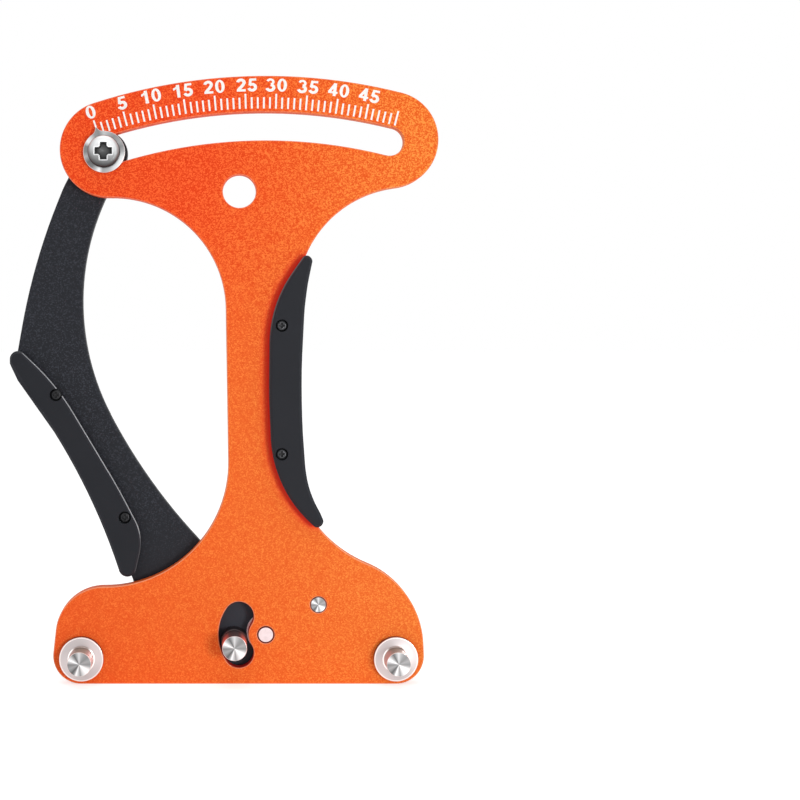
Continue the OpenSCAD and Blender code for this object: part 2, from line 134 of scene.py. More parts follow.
# Rounding of small edges, of the bush and of the stamped clip
SMALL_EDGE, BUSH_EDGE, CLIP_EDGE = 0.0001, 0.00015, 0.00006
# Step of the coil's points in radians, and the points of a leg as shares of its length
COIL_STEP = 0.12
LEG_SHARES = np.linspace(1, 0.04, 14)

# Heights between which a look changes: from the plate's foot to its head, below and above the
# grip on the plate, where painted shade runs beside it, from the lever's smooth end to its rough
# arm, and above its tip, which gets more painted light
FOOT_TO_HEAD = (-0.06, 0.015)
UNDER_GRIP, OVER_GRIP = (-0.094, -0.089), (-0.012, -0.006)
SMOOTH_TO_ROUGH = (-0.098, -0.075)
ABOVE_TIP = (-0.1018, -0.1002)
# Depths between which a look changes at a post's root, where painted shade starts, at the
# plate's back, where painted shade on pins and screws stops or weakens, at the lever's front,
# which gets painted light, and behind a grip's front face, where its painted glint starts and
# ends
POST_ROOT = (PLATE_FRONT - 0.004, PLATE_FRONT + 0.001)
PAST_PLATE = (PLATE_BACK - 0.0004, PLATE_BACK)
LEVER_FACE = (PLATE_BACK + 0.001, PLATE_BACK + 0.002)
GLINT_START, GLINT_END = (0.00036, 0.00042), (0.00062, 0.00068)
# Radii between which a post's look changes, as shares of its own: where its fillet starts and
# ends, and where the flange's side starts
FILLET_START, FILLET_END, FLANGE_SIDE = (1.0, 1.02), (1.11, 1.13), (1.3, 1.35)
# How near the grip has to be to shade the plate beside it
SHADE_REACH = 0.004

# Colours: the painted highlight on a turned edge, the painted shade of the dark ring round a
# sunk pin, the painted deep red shade on the plate along the grip, the grips' painted glint, the
# spacer, the painted shade at a post's root, the posts' sides with painted shade above and a
# painted reflection of the orange plate aside, the fillet with painted shade above and a
# painted highlight aside, and the flange's side with painted shade below and darker painted
# shade above
PAINTED_EDGE_HIGHLIGHT = (0.97, 0.89, 0.86)
PAINTED_PIN_SHADE = (0.09, 0.012, 0.010)
GRIP_SHADE = (1.0, 0.030, 0.013)
GLINT_COLOUR = (0.42, 0.43, 0.45)
SPACER_COLOUR = (0.60, 0.44, 0.45)
ROOT_PAINTED_SHADE = (0.03, 0.02, 0.02)
POST_PAINTED_SHADE_AND_REFLECTION = ((0.34, 0.25, 0.19), (0.62, 0.28, 0.24))
MOVING_PAINTED_SHADE_AND_REFLECTION = ((0.13, 0.09, 0.09), (0.85, 0.22, 0.19))
FILLET_PAINTED_SHADE_AND_HIGHLIGHT = ((0.34, 0.27, 0.25), (1.0, 0.96, 0.94))
FLANGE_PAINTED_SHADE = ((0.45, 0.30, 0.28), (0.13, 0.045, 0.05))
# The orange coat's dark and light grain, as shares of its red, green and blue
GRAIN_SHARES = ((0.88, 0.58, 0.36), (1.12, 1.75, 3.4))

# Painted highlights: brightness round a turned end face and round the pointer, by degrees
# from the x axis
TURNED_PAINTED_HIGHLIGHTS = (
    (0, 0.34), (20, 0.42), (42, 0.32), (60, 0.36), (76, 0.46), (91, 0.66), (106, 0.40),
    (119, 0.22), (133, 0.42), (146, 0.70), (156, 0.96), (166, 0.60), (181, 0.29), (204, 0.40),
    (218, 0.32), (230, 0.20), (242, 0.33), (253, 0.86), (264, 0.62), (277, 0.34), (291, 0.64),
    (318, 0.98), (334, 0.80), (350, 0.42), (360, 0.34),
)
POINTER_PAINTED_HIGHLIGHTS = (
    (0, 0.52), (18, 0.36), (32, 0.46), (58, 0.36), (76, 0.48), (90, 0.60), (105, 0.34),
    (120, 0.38), (135, 0.75), (148, 0.92), (163, 0.32), (180, 0.33), (195, 0.50), (213, 0.25),
    (232, 0.30), (245, 0.60), (254, 0.98), (266, 0.46), (284, 0.55), (302, 0.78), (330, 0.94),
    (346, 0.82), (360, 0.52),
)
# Painted light and shade on a domed head: brightness from its foot below to its crown above
HEAD_PAINTED_LIGHT = (
    (0.0, 0.14), (0.18, 0.19), (0.36, 0.31), (0.5, 0.48), (0.66, 0.70), (0.80, 0.86), (1.0, 0.95),
)

# The grips: side, body, which way aside their painted glint looks and how strong it is, how
# strong the painted highlight on their screws' lips is and how much painted shade darkens the
# heads
GRIPS = (
    ("left", "lever", 0.88, 0.9, 0.1, 0.55),
    ("right", "frame", -0.88, 0.25, 2.0, 0.0),
)
# The grips' outer edges from the bottom up: height, place and how far the moulding is fuller
# there than its solid, in millimetres
GRIP_EDGES = {
    "left": (
        (-56.2, -48.8, 0.0), (-53.2, -50.7, -0.15), (-50.2, -52.6, -0.5),
        (-47.2, -54.45, -1.05), (-45.7, -55.4, -1.35), (-44.2, -56.3, -1.15),
        (-42.7, -57.2, -0.3), (-41.8, -57.5, 0.0)),
    "right": (
        (-83.6, 20.6, 0.0), (-82.2, 20.5, 0.25), (-80.2, 19.4, 0.6), (-78.2, 18.3, 0.6),
        (-74.2, 16.75, 0.55), (-70.2, 15.9, 0.57), (-66.2, 15.6, 0.5), (-62.2, 15.4, 0.37),
        (-52.2, 15.05, 0.35), (-42.2, 15.2, 0.3), (-32.2, 15.55, 0.4), (-26.2, 16.0, 0.47),
        (-20.2, 17.2, 0.3), (-18.2, 17.7, 0.35), (-16.6, 17.4, 0.0)),
}
# How far inwards from such an edge the moulding is fuller
EDGE_REACH = 0.0035

# The numbers: how wide they are for their height, the step from one figure to the next, and
# how far each number is printed right of its mark, in widths
NUMBER_WIDTH, NUMBER_STEP = 1.15, 0.775
NUMBER_SHIFTS = (0.03, 0.13, -0.02, 0.05, 0.08, 0.17, 0.05, 0.08, 0.03, 0.02)


# Settings

class CoatSettings(bpy.types.PropertyGroup):
    """Powder coats of the plate and the lever"""
    plate_deep: FloatVectorProperty(
        name="Deep orange", description="Powder coat at the left of the plate's head",
        subtype="COLOR", size=3, min=0, max=1, default=(0.93, 0.080, 0.008))
    plate_light: FloatVectorProperty(
        name="Light orange", description="Powder coat at the right of the plate's head",
        subtype="COLOR", size=3, min=0, max=1, default=(0.96, 0.196, 0.016))
    # Painted shade: the dark red on the walls of the foot's small holes
    plate_shade: FloatVectorProperty(
        name="Hole walls", description="Thin dark coat inside the foot's small holes",
        subtype="COLOR", size=3, min=0, max=1, default=(0.60, 0.018, 0.012))
    # Painted highlight: the lighter colour along the plate's rounded edges
    plate_rim: FloatVectorProperty(
        name="Plate edge", description="Thin coat along the plate's edges", subtype="COLOR",
        size=3, min=0, max=1, default=(1.0, 0.52, 0.33))
    lever_colour: FloatVectorProperty(
        name="Lever colour", description="Powder coat of the lever", subtype="COLOR",
        size=3, min=0, max=1, default=(0.0172, 0.0184, 0.0232))
    # Painted highlight: the lighter colour along the lever's rounded edges
    lever_rim: FloatVectorProperty(
        name="Lever edge", description="Thin coat along the lever's edges", subtype="COLOR",
        size=3, min=0, max=1, default=(0.05, 0.055, 0.06))
    edge_radius: FloatProperty(
        name="Edge radius", description="Rounding of the coated sheets' edges",
        subtype="DISTANCE", unit="LENGTH", min=0.0001, max=0.0006, default=0.0003)
    grain_size: FloatProperty(
        name="Grain size", description="Width of the coat's grain", subtype="DISTANCE",
        unit="LENGTH", min=0.0001, max=0.002, default=0.00027)


class SteelSettings(bpy.types.PropertyGroup):
    """Colours of the steels"""
    turned: FloatVectorProperty(
        name="Turned steel", description="Colour of the turned faces", subtype="COLOR",
        size=3, min=0, max=1, default=(0.96, 0.97, 0.98))
    satin: FloatVectorProperty(
        name="Satin steel", description="Colour of the flanges and of the pin in the pivot",
        subtype="COLOR", size=3, min=0, max=1, default=(0.63, 0.575, 0.575))
    wire: FloatVectorProperty(
        name="Spring wire", description="Colour of the spring's drawn wire", subtype="COLOR",
        size=3, min=0, max=1, default=(0.36, 0.36, 0.37))
    black: FloatVectorProperty(
        name="Blackened steel", description="Colour of the grip screws and the clip",
        subtype="COLOR", size=3, min=0, max=1, default=(0.030, 0.031, 0.034))


class TurnedSettings(bpy.types.PropertyGroup):
    """Sizes of the turned pieces and the screws"""
    edge: FloatProperty(
        name="Edge", description="Rounding of the turned parts' edges", subtype="DISTANCE",
        unit="LENGTH", min=0.00003, max=0.0003, default=0.00014)
    flange: FloatProperty(
        name="Flange", description="Thickness of the fixed posts' flange",
        subtype="DISTANCE", unit="LENGTH", default=0.0015)
    bore: FloatProperty(
        name="Thread bore", description="Bore of the fixed posts", subtype="DISTANCE",
        unit="LENGTH", default=0.004)
    bore_depth: FloatProperty(
        name="Bore depth", description="Depth of the fixed posts' bore",
        subtype="DISTANCE", unit="LENGTH", default=0.0045)
    rivet: FloatProperty(
        name="Rivet", description="Diameter of the moving post's tail in the lever",
        subtype="DISTANCE", unit="LENGTH", default=0.0044)
    collar: FloatProperty(
        name="Collar front", description="Where the moving post's collar starts, from front",
        subtype="DISTANCE", unit="LENGTH", default=-0.0016)
    screw_head: FloatProperty(
        name="Screw head height", description="Height of the large screws' heads",
        subtype="DISTANCE", unit="LENGTH", default=0.0025)
    grip_head: FloatProperty(
        name="Grip screw head height", description="Height of the grip screws' heads",
        subtype="DISTANCE", unit="LENGTH", default=0.001)


class PlasticSettings(bpy.types.PropertyGroup):
    """Plastics of the grips, the bush and the sleeve"""
    grip: FloatVectorProperty(
        name="Grip colour", description="Moulded plastic of the grips", subtype="COLOR",
        size=3, min=0, max=1, default=(0.0178, 0.0188, 0.0232))
    nylon: FloatVectorProperty(
        name="Nylon colour", description="Plain nylon of the bush and the sleeve",
        subtype="COLOR", size=3, min=0, max=1, default=(0.80, 0.79, 0.74))
    grip_edge: FloatProperty(
        name="Grip edge", description="Rounding of the grips' edges", subtype="DISTANCE",
        unit="LENGTH", min=0.00003, max=0.0003, default=0.00026)


class SpringSettings(bpy.types.PropertyGroup):
    """The torsion spring's wire and coil"""
    wire: FloatProperty(
        name="Wire", description="Diameter of the spring's wire", subtype="DISTANCE",
        unit="LENGTH", min=0.001, max=0.0018, default=0.0016)
    coil: FloatProperty(
        name="Coil", description="Radius of the coil to the middle of its wire",
        subtype="DISTANCE", unit="LENGTH", min=0.0055, max=0.0064, default=0.006)
    leg: FloatProperty(
        name="Leg", description="Length of each straight leg", subtype="DISTANCE",
        unit="LENGTH", min=0.0145, max=0.018, default=0.0156)
    turns: IntProperty(
        name="Turns", description="Whole turns of the coil", min=1, max=4, default=2)
    tilt: FloatProperty(
        name="Tilt", description="Angle of each leg above the level", subtype="ANGLE",
        unit="ROTATION", default=math.radians(65.49))


class PrintSettings(bpy.types.PropertyGroup):
    """The printed scale"""
    colour: FloatVectorProperty(
        name="Print colour", description="Ink of the scale", subtype="COLOR", size=3, min=0,
        max=1, default=(0.98, 0.96, 0.93))
    divisions: IntProperty(
        name="Divisions", description="Steps of the scale", min=10, max=100, default=50)
    start: FloatProperty(
        name="Start", description="Angle of the zero mark from straight up", subtype="ANGLE",
        unit="ROTATION", default=math.radians(18.10))
    span: FloatProperty(
        name="Span", description="Angle of the printed scale", subtype="ANGLE",
        unit="ROTATION", default=math.radians(32.72))
    aside: FloatProperty(
        name="Centre", description="How far right of the pivot the printed arcs' centre lies",
        subtype="DISTANCE", unit="LENGTH", default=-0.001)
    mark_inner: FloatProperty(
        name="Inner end", description="Radius of the marks' inner ends, from the pivot",
        subtype="DISTANCE", unit="LENGTH", default=0.1316)
    mark_length: FloatProperty(
        name="Mark length", description="Length of a plain mark", subtype="DISTANCE",
        unit="LENGTH", default=0.0028)
    fifth_length: FloatProperty(
        name="Fifth mark length", description="Length of every fifth mark",
        subtype="DISTANCE", unit="LENGTH", default=0.0037)
    mark_width: FloatProperty(
        name="Mark width", description="Width of a mark", subtype="DISTANCE", unit="LENGTH",
        default=0.00046)
    number_height: FloatProperty(
        name="Number height", description="Height of the numbers", subtype="DISTANCE",
        unit="LENGTH", default=0.0032)
    number_radius: FloatProperty(
        name="Number radius", description="Radius of the numbers' middle, from the pivot",
        subtype="DISTANCE", unit="LENGTH", default=0.1375)
    film: FloatProperty(
        name="Ink thickness", description="How far the ink stands above the coat",
        subtype="DISTANCE", unit="LENGTH", default=0.00002)


class StageSettings(bpy.types.PropertyGroup):
    """Light on the stage"""
    ambient: FloatProperty(
        name="Room light", description="Even light from all round", min=0, max=2,
        default=0.50)
    key: FloatProperty(
        name="Main light", description="Soft light from the right", unit="POWER", min=0,
        default=1.22)
    fill: FloatProperty(
        name="Left light", description="Large weak light from the left", unit="POWER",
        min=0, default=0.3)
    top: FloatProperty(
        name="Top light", description="Large light overhead", unit="POWER", min=0,
        default=0.8)


# Meshes from whole arrays

def unit(rows):
    """Each row divided by its length."""
    return rows / np.maximum(np.linalg.norm(rows, axis=-1, keepdims=True), 1e-12)


def surface(name, points, faces, sharp=None, **attributes):
    """A smooth mesh object from an array of points and a list of index arrays, one for each
    number of corners. An attribute holds one number or one vector for each point. Edges that
    turn by more than the angle sharp stay crisp."""
    mesh = bpy.data.meshes.new(name)
    faces = [np.asarray(block, np.int32) for block in faces if len(block)]
    corners = np.concatenate([block.ravel() for block in faces])
    sizes = np.concatenate([np.full(len(block), block.shape[1]) for block in faces])
    starts = np.concatenate([[0], np.cumsum(sizes)[:-1]]).astype(np.int32)
    mesh.vertices.add(len(points))
    mesh.vertices.foreach_set("co", np.asarray(points, np.float32).ravel())
    mesh.loops.add(len(corners))
    mesh.loops.foreach_set("vertex_index", corners)
    mesh.polygons.add(len(sizes))
    mesh.polygons.foreach_set("loop_start", starts)
    mesh.polygons.foreach_set("use_smooth", np.ones(len(sizes), bool))
    mesh.update(calc_edges=True)
    for key, values in attributes.items():
        values = np.asarray(values, np.float32)
        kind, field = ("FLOAT_VECTOR", "vector") if values.ndim == 2 else ("FLOAT", "value")
        mesh.attributes.new(key, kind, "POINT").data.foreach_set(field, values.ravel())
    if sharp:
        mesh.set_sharp_from_angle(angle=sharp)
    made = bpy.data.objects.new(name, mesh)
    bpy.context.scene.collection.objects.link(made)
    return made


def joined(name, parts, sharp=None):
    """One mesh object from several (points, faces, attributes), the indices moved along."""
    points, faces, moved = [], [], 0
    for cloud, blocks, _ in parts:
        points.append(cloud)
        faces += [np.asarray(block) + moved for block in blocks]
        moved += len(cloud)
    gathered = {key: np.concatenate([fields[key] for _, _, fields in parts])
                for key in parts[0][2]}
    sized = {}
    for block in faces:
        sized.setdefault(block.shape[1], []).append(block)
    return surface(name, np.concatenate(points), [np.concatenate(v) for v in sized.values()],
                   sharp, **gathered)


def welded(node):
    """Points and triangles of a CAD node, with the points that coincide made one."""
    mesh = NODES[node].data
    places = np.empty(3 * len(mesh.vertices), np.float32)
    mesh.vertices.foreach_get("co", places)
    mesh.calc_loop_triangles()
    corners = np.empty(3 * len(mesh.loop_triangles), np.int32)
    mesh.loop_triangles.foreach_get("vertices", corners)
    points, index = np.unique(np.round(places.reshape(-1, 3).astype(float), 7), axis=0,
                              return_inverse=True)
    triangles = index.ravel()[corners.reshape(-1, 3)]
    proper = ((triangles[:, 0] != triangles[:, 1]) & (triangles[:, 1] != triangles[:, 2])
              & (triangles[:, 2] != triangles[:, 0]))
    return points, triangles[proper]


def front_rims(points, triangles):
    """The flat front face of a body and the points on its rims.

    The rims are the sides that only one triangle of the face uses. At each point of a rim the
    way inwards is the sum of its two sides' inward normals, divided by one plus their dot
    product, so that a line moved along it stays parallel. A rim is small if it spans less
    than a small hole. Its points find each other by steps ahead that double every time."""
    front = points[:, 1].min()
    face = triangles[(np.abs(points[triangles][:, :, 1] - front) < FLAT).all(axis=1)]
    sides = np.concatenate([face[:, [0, 1]], face[:, [1, 2]], face[:, [2, 0]]])
    count = len(points)
    rim = sides[~np.isin(sides[:, 0] * count + sides[:, 1],
                         sides[:, 1] * count + sides[:, 0])]
    following, before, seat = (np.zeros(count, int) for _ in range(3))
    following[rim[:, 0]], before[rim[:, 1]] = rim[:, 1], rim[:, 0]
    on_rim = rim[:, 0]
    seat[on_rim] = np.arange(len(rim))
    flat = points[:, [0, 2]]
    ahead = unit(flat[following[on_rim]] - flat[on_rim])
    behind = unit(flat[on_rim] - flat[before[on_rim]])
    turned_ahead = np.stack([-ahead[:, 1], ahead[:, 0]], axis=1)
    turned_behind = np.stack([-behind[:, 1], behind[:, 0]], axis=1)
    share = np.maximum(1 + (turned_ahead * turned_behind).sum(axis=1), 0.3)
    inwards = (turned_ahead + turned_behind) / share[:, None]

    first, step = np.arange(len(rim)), seat[following[on_rim]]
    for _ in range(len(rim).bit_length()):
        first, step = np.minimum(first, first[step]), step[step]
    low, high = np.full((len(rim), 2), np.inf), np.full((len(rim), 2), -np.inf)
    np.minimum.at(low, first, flat[on_rim])
    np.maximum.at(high, first, flat[on_rim])
    small = (high - low).max(axis=1)[first] < SMALL_HOLE
    return face, rim, seat, inwards, small


def rounded_sheet(name, node, radius, steps=3, centre=None):
    """The sheet that a CAD node gives, with every edge of both faces rounded. Ring after ring
    runs from the front face over a quarter circle, down the wall and over a quarter circle to
    the back face: inset = radius (1 - sin a), depth = radius (1 - cos a)."""
    points, triangles = welded(node)
    front, back = points[:, 1].min(), points[:, 1].max()
    face, rim, seat, inwards, small = front_rims(points, triangles)
    angles = np.linspace(0, math.pi / 2, steps + 1)
    inset = np.r_[radius * 1.6, radius * (1 - np.sin(angles))]
    edge, wall = np.r_[0, np.sin(2 * angles)], np.r_[0, np.sin(angles) ** 4]
    inset, edge, wall = (np.r_[rising, rising[::-1]] for rising in (inset, edge, wall))
    depth = np.r_[0, radius * (1 - np.cos(angles))]
    rings, size = len(inset), len(rim)
    cloud = np.empty((rings, size, 3))
    cloud[:, :, [0, 2]] = points[rim[:, 0]][:, [0, 2]] + inwards * inset[:, None, None]
    cloud[:, :, 1] = np.r_[front + depth, (back - depth)[::-1]][:, None]

    a, b = seat[rim[:, 0]], seat[rim[:, 1]]
    level = np.arange(rings - 1)[:, None] * size
    walls = np.stack([b + level, a + level, a + level + size, b + level + size], axis=2)
    top = seat[face]
    bottom = top[:, ::-1] + (rings - 1) * size
    cloud = cloud.reshape(-1, 3)
    more = {} if centre is None else {"axis": cloud - centre}
    return surface(name, cloud, [walls.reshape(-1, 4), np.concatenate([top, bottom])],
                   edge=np.repeat(edge, size), wall=np.outer(wall, small).ravel(), **more)


def softened(profile, radius, closed, steps=3):
    """A profile with its corners rounded, and how much each point belongs to an edge.

    At a corner where the profile turns by an angle, the rounding starts radius tan(angle / 2)
    away from it, and follows the parabola through the corner's two sides. One more point on
    each side keeps the flat next to it flat. Bends under 25 degrees keep their one point."""
    corner = np.asarray(profile, float)
    before, after = corner - np.roll(corner, 1, 0), np.roll(corner, -1, 0) - corner
    room = 0.3 * np.minimum(np.linalg.norm(before, axis=1), np.linalg.norm(after, axis=1))
    before, after = unit(before), unit(after)
    turn = np.arccos(np.clip((before * after).sum(axis=1), -1, 1))
    reach = np.minimum(radius * np.tan(np.minimum(turn, 2.9) / 2), room)[:, None, None]
    s = np.linspace(0, 1, steps + 1)[None, :, None]
    start = corner[:, None] - before[:, None] * reach
    end = corner[:, None] + after[:, None] * reach
    bend = (1 - s) ** 2 * start + 2 * s * (1 - s) * corner[:, None] + s ** 2 * end
    rows = np.concatenate([corner[:, None] - before[:, None] * reach * 1.5, bend,
                           corner[:, None] + after[:, None] * reach * 1.5], axis=1)
    edge = np.tile(np.r_[0, np.minimum(6 * s * (1 - s), 1).ravel(), 0], (len(corner), 1))
    plain = turn < math.radians(25)
    if not closed:
        plain[[0, -1]] = True
    rows[plain, 0] = corner[plain]
    edge[plain, 0] = 0
    keep = ~plain[:, None] | (np.arange(rows.shape[1]) == 0)
    return rows[keep], edge[keep]


def turned_shape(centre, profile, radius, closed=False, around=96):
    """A turned part from its profile of (distance from the axis, y), which runs from the
    front outwards and back. Point (k, j) = centre + distance k (cos j, sin j). An open
    profile starts and ends on the axis, where its first and last ring become one point."""
    rows, edge = softened(profile, radius, closed)
    turn = np.linspace(0, 2 * math.pi, around, endpoint=False)
    circle = np.stack([np.cos(turn), np.zeros(around), np.sin(turn)], axis=1)
    inner = rows if closed else rows[1:-1]
    offset = inner[:, 0, None, None] * circle
    cloud = offset + [centre[0], 0, centre[2]]
    cloud[:, :, 1] = inner[:, 1, None]
    rings = len(inner)
    j = np.arange(around)
    after = (j + 1) % around
    k = np.arange(rings if closed else rings - 1)[:, None]
    here, there = k * around, (k + 1) % rings * around
    quads = np.stack([here + j, there + j, there + after, here + after], axis=2)
    points, faces = [cloud.reshape(-1, 3)], [quads.reshape(-1, 4)]
    axis, edges = [offset.reshape(-1, 3)], [np.repeat(edge if closed else edge[1:-1], around)]
    if not closed:
        points.append(np.array([[centre[0], rows[0, 1], centre[2]],
                                [centre[0], rows[-1, 1], centre[2]]]))
        axis.append(np.zeros((2, 3)))
        edges.append(np.zeros(2))
        first = rings * around
        last = (rings - 1) * around
        faces.append(np.concatenate([
            np.stack([np.full(around, first), j, after], axis=1),
            np.stack([last + j, np.full(around, first + 1), last + after], axis=1)]))
    return (np.concatenate(points), faces,
            {"axis": np.concatenate(axis), "edge": np.concatenate(edges)})


def screw_shape(place, under, way, radius, height, shank, length, cells=60):
    """A pan head screw with a cross recess. Its head is a square grid u, v from -1 to 1, laid
    on a disk as (u sqrt(1 - v v / 2), v sqrt(1 - u u / 2)). The distance s from the disk's
    middle then runs along the head's profile: over the low crown, round the shoulder and down
    the side. The recess is cut where a smooth step of the distance into the cross says so."""
    line = np.linspace(-1, 1, cells + 1)
    u, v = np.meshgrid(line, line, indexing="ij")
    disk = np.stack([u * np.sqrt(1 - v * v / 2), v * np.sqrt(1 - u * u / 2)], axis=-1)
    s = np.linalg.norm(disk, axis=-1)
    corner, crown = height * SHOULDER, height * CROWN
    flat = radius - corner
    bend = np.linspace(0, math.pi / 2, 9)
    knot_s = np.r_[np.linspace(0, 0.72, 13), 0.72 + 0.2 * bend[1:] / (math.pi / 2), 1]
    knot_r = np.r_[np.linspace(0, flat, 13), flat + corner * np.sin(bend[1:]), radius]
    fall = crown * (np.linspace(0, 1, 13)) ** 2
    knot_h = np.r_[height - fall, height - crown - corner * (1 - np.cos(bend[1:])), 0]
    way_out = disk / np.maximum(s, 1e-9)[..., None]
    across = way_out * np.interp(s, knot_s, knot_r)[..., None]
    rise = np.interp(s, knot_s, knot_h)

    span, arm = radius * CROSS, radius * ARM
    p, q = np.abs(across[..., 0]), np.abs(across[..., 1])
    beam = np.minimum(np.maximum(p - span, q - arm), np.maximum(p - arm, q - span))
    notch = (p + q - arm * 2 - radius * ARM_FILLET) / math.sqrt(2)
    into = 0.5 - np.minimum(beam, notch) / (radius * RECESS_WALL)
    cut = np.clip(into, 0, 1)
    cut = cut * cut * (3 - 2 * cut)
    depth = radius * RECESS_DEPTH * (1 - 0.35 * np.hypot(p, q) / span)
    recess = cut * np.maximum(depth, 0)
    lip = np.exp(-((into + 0.6) / 0.6) ** 2)

    size = (cells + 1) ** 2
    local = np.concatenate([across, (rise - recess)[..., None]], axis=-1).reshape(-1, 3)
    index = np.arange(size).reshape(cells + 1, cells + 1)
    quads = np.stack([index[:-1, :-1], index[1:, :-1], index[1:, 1:], index[:-1, 1:]], axis=-1)
    rim = np.concatenate([index[:-1, 0], index[-1, :-1], index[:0:-1, -1], index[0, :0:-1]])
    heading = unit(local[rim, :2])
    count = len(rim)
    tail = [(shank, 0), (shank, -length + 0.15 * shank), (shank * 0.85, -length)]
    rings = [np.concatenate([heading * r, np.full((count, 1), h)], axis=1) for r, h in tail]
    local = np.concatenate([local, *rings, [[0, 0, -length]]])
    loops = np.concatenate([rim[None], size + np.arange(3 * count).reshape(3, count)])
    walls = np.stack([loops[1:], np.roll(loops[1:], -1, 1), np.roll(loops[:-1], -1, 1),
                      loops[:-1]], axis=-1)
    end = np.stack([loops[-1], np.full(count, len(local) - 1), np.roll(loops[-1], -1)], axis=1)
    cloud = np.stack([place[0] - way * local[:, 0], under + way * local[:, 2],
                      place[2] + local[:, 1]], axis=1)
    axis = np.stack([-way * local[:, 0], np.zeros(len(local)), local[:, 1]], axis=1) / radius
    rest = np.zeros(len(local) - size)
    return cloud, [quads.reshape(-1, 4), walls.reshape(-1, 4), end], {
        "axis": axis, "recess": np.r_[cut.ravel(), rest], "lip": np.r_[lip.ravel(), rest]}


def wound_wire(name, path, radius, sides=16):
    """A round wire along a path. At each station the circle stands across the path's
    direction t, on the axes s = t x y and u = s x t. The last rings shrink to a bevel."""
    way = unit(np.gradient(path, axis=0))
    across = unit(np.cross(way, [0, 1, 0]))
    up = np.cross(across, way)
    bevel = radius * 0.25
    path = np.concatenate([path[:1], path[:1] + way[:1] * bevel, path[1:-1],
                           path[-1:] - way[-1:] * bevel, path[-1:]])
    pad = np.r_[0, 0:len(way), len(way) - 1]
    across, up = across[pad], up[pad]
    reach = np.full(len(path), radius)
    reach[[0, -1]] -= bevel
    turn = np.linspace(0, 2 * math.pi, sides, endpoint=False)
    circle = (np.cos(turn)[None, :, None] * across[:, None]
              + np.sin(turn)[None, :, None] * up[:, None])
    cloud = path[:, None] + circle * reach[:, None, None]
    rings = len(path)
    k = np.arange(sides)
    level = np.arange(rings - 1)[:, None] * sides
    after = (k + 1) % sides
    walls = np.stack([k + level, after + level, after + level + sides, k + level + sides],
                     axis=2)
    first, last = rings * sides, rings * sides + 1
    caps = np.concatenate([
        np.stack([np.full(sides, first), after, k], axis=1),
        np.stack([np.full(sides, last), k + (rings - 1) * sides,
                  after + (rings - 1) * sides], axis=1)])
    points = np.concatenate([cloud.reshape(-1, 3), path[:1], path[-1:]])
    along = np.r_[np.repeat(np.cumsum(np.r_[0, np.linalg.norm(np.diff(path, axis=0), axis=1)]),
                            sides), 0, 0]
    return surface(name, points, [walls.reshape(-1, 4), caps], CRISP, along=along)


def on_dial(centre, radius, angle):
    """Places at a radius from a centre and an angle from straight up, to the left."""
    return np.stack([centre[0] - radius * np.sin(angle), centre[1] + radius * np.cos(angle)],
                    axis=-1)


def film(bands, front, back):
    """Thin closed films of ink. Each band lies between two lines of as many points, both
    given as x and z, and gets a face in front, a face behind and walls all round. A band
    whose third value is higher lies a little further out, over the ones that it crosses."""
    parts = []
    for left, right, over in bands:
        count = len(left)
        loop = np.concatenate([left, right[::-1]])
        cloud = np.empty((2, 2 * count, 3))
        cloud[:, :, [0, 2]] = loop
        cloud[0, :, 1], cloud[1, :, 1] = front - over * FLAT * 1.5, back
        i = np.arange(count - 1)
        mirror = 2 * count - 1 - i
        face = np.stack([i, mirror, mirror - 1, i + 1], axis=1)
        j = np.arange(2 * count)
        after = (j + 1) % (2 * count)
        wall = np.stack([j, after, after + 2 * count, j + 2 * count], axis=1)
        quads = np.concatenate([face, face[:, ::-1] + 2 * count, wall])
        area = (loop[:, 0] * np.roll(loop[:, 1], -1) - np.roll(loop[:, 0], -1) * loop[:, 1]).sum()
        parts.append((cloud.reshape(-1, 3), [quads if area < 0 else quads[:, ::-1]], {}))
    return parts


def arc(centre, radii, start, end, count=15):
    """Points on part of an ellipse, from one angle to another in degrees."""
    turn = np.radians(np.linspace(start, end, count))
    return np.stack([centre[0] + radii[0] * np.cos(turn), centre[1] + radii[1] * np.sin(turn)],
                    axis=1)


def band(line, width):
    """The two sides of a stroke: the line moved by half its width along its normals."""
    line = np.asarray(line, float)
    way = unit(np.gradient(line, axis=0))
    aside = np.stack([-way[:, 1], way[:, 0]], axis=1) * width / 2
    return line + aside, line - aside


def numeral(figure, stroke=0.216):
    """Bands of one bold numeral, one unit high, whose lower left corner is at 0, 0."""
    thin = stroke * 0.78
    oval = tuple(arc((0.335, 0.5), radii, 0, 360, 49)
                 for radii in ((0.325, 0.515), (0.112, 0.355)))
    shapes = {
        "0": [oval],
        "1": [band([(0.43, 0), (0.43, 0.99)], stroke),
              (np.array([(0.39, 0.99), (0.30, 0.865), (0.20, 0.795), (0.10, 0.755)]),
               np.array([(0.345, 0.72), (0.27, 0.66), (0.19, 0.615), (0.10, 0.58)]))],
        "2": [band(np.concatenate([arc((0.325, 0.70), (0.215, 0.215), 172, -25),
                                   [(0.42, 0.45), (0.30, 0.32), (0.19, 0.20), (0.14, 0.12)]]),
                   stroke),
              band([(0.03, 0.09), (0.64, 0.09)], 0.18)],
        "3": [band(arc((0.31, 0.73), (0.20, 0.19), 165, -80), thin),
              band(arc((0.31, 0.285), (0.235, 0.22), 85, -168), stroke)],
        "4": [band([(0.46, 0), (0.46, 1)], stroke * 0.95),
              band([(0.02, 0.27), (0.66, 0.27)], thin),
              (np.array([(0.02, 0.35), (0.37, 1.0)]), np.array([(0.20, 0.30), (0.45, 0.72)]))],
        "5": [band([(0.13, 0.91), (0.60, 0.91)], 0.18),
              (np.array([(0.13, 1.0), (0.05, 0.47)]), np.array([(0.29, 0.85), (0.24, 0.50)])),
              band(arc((0.30, 0.315), (0.235, 0.235), 138, -165), stroke)],
    }
    return shapes[figure]


# Materials

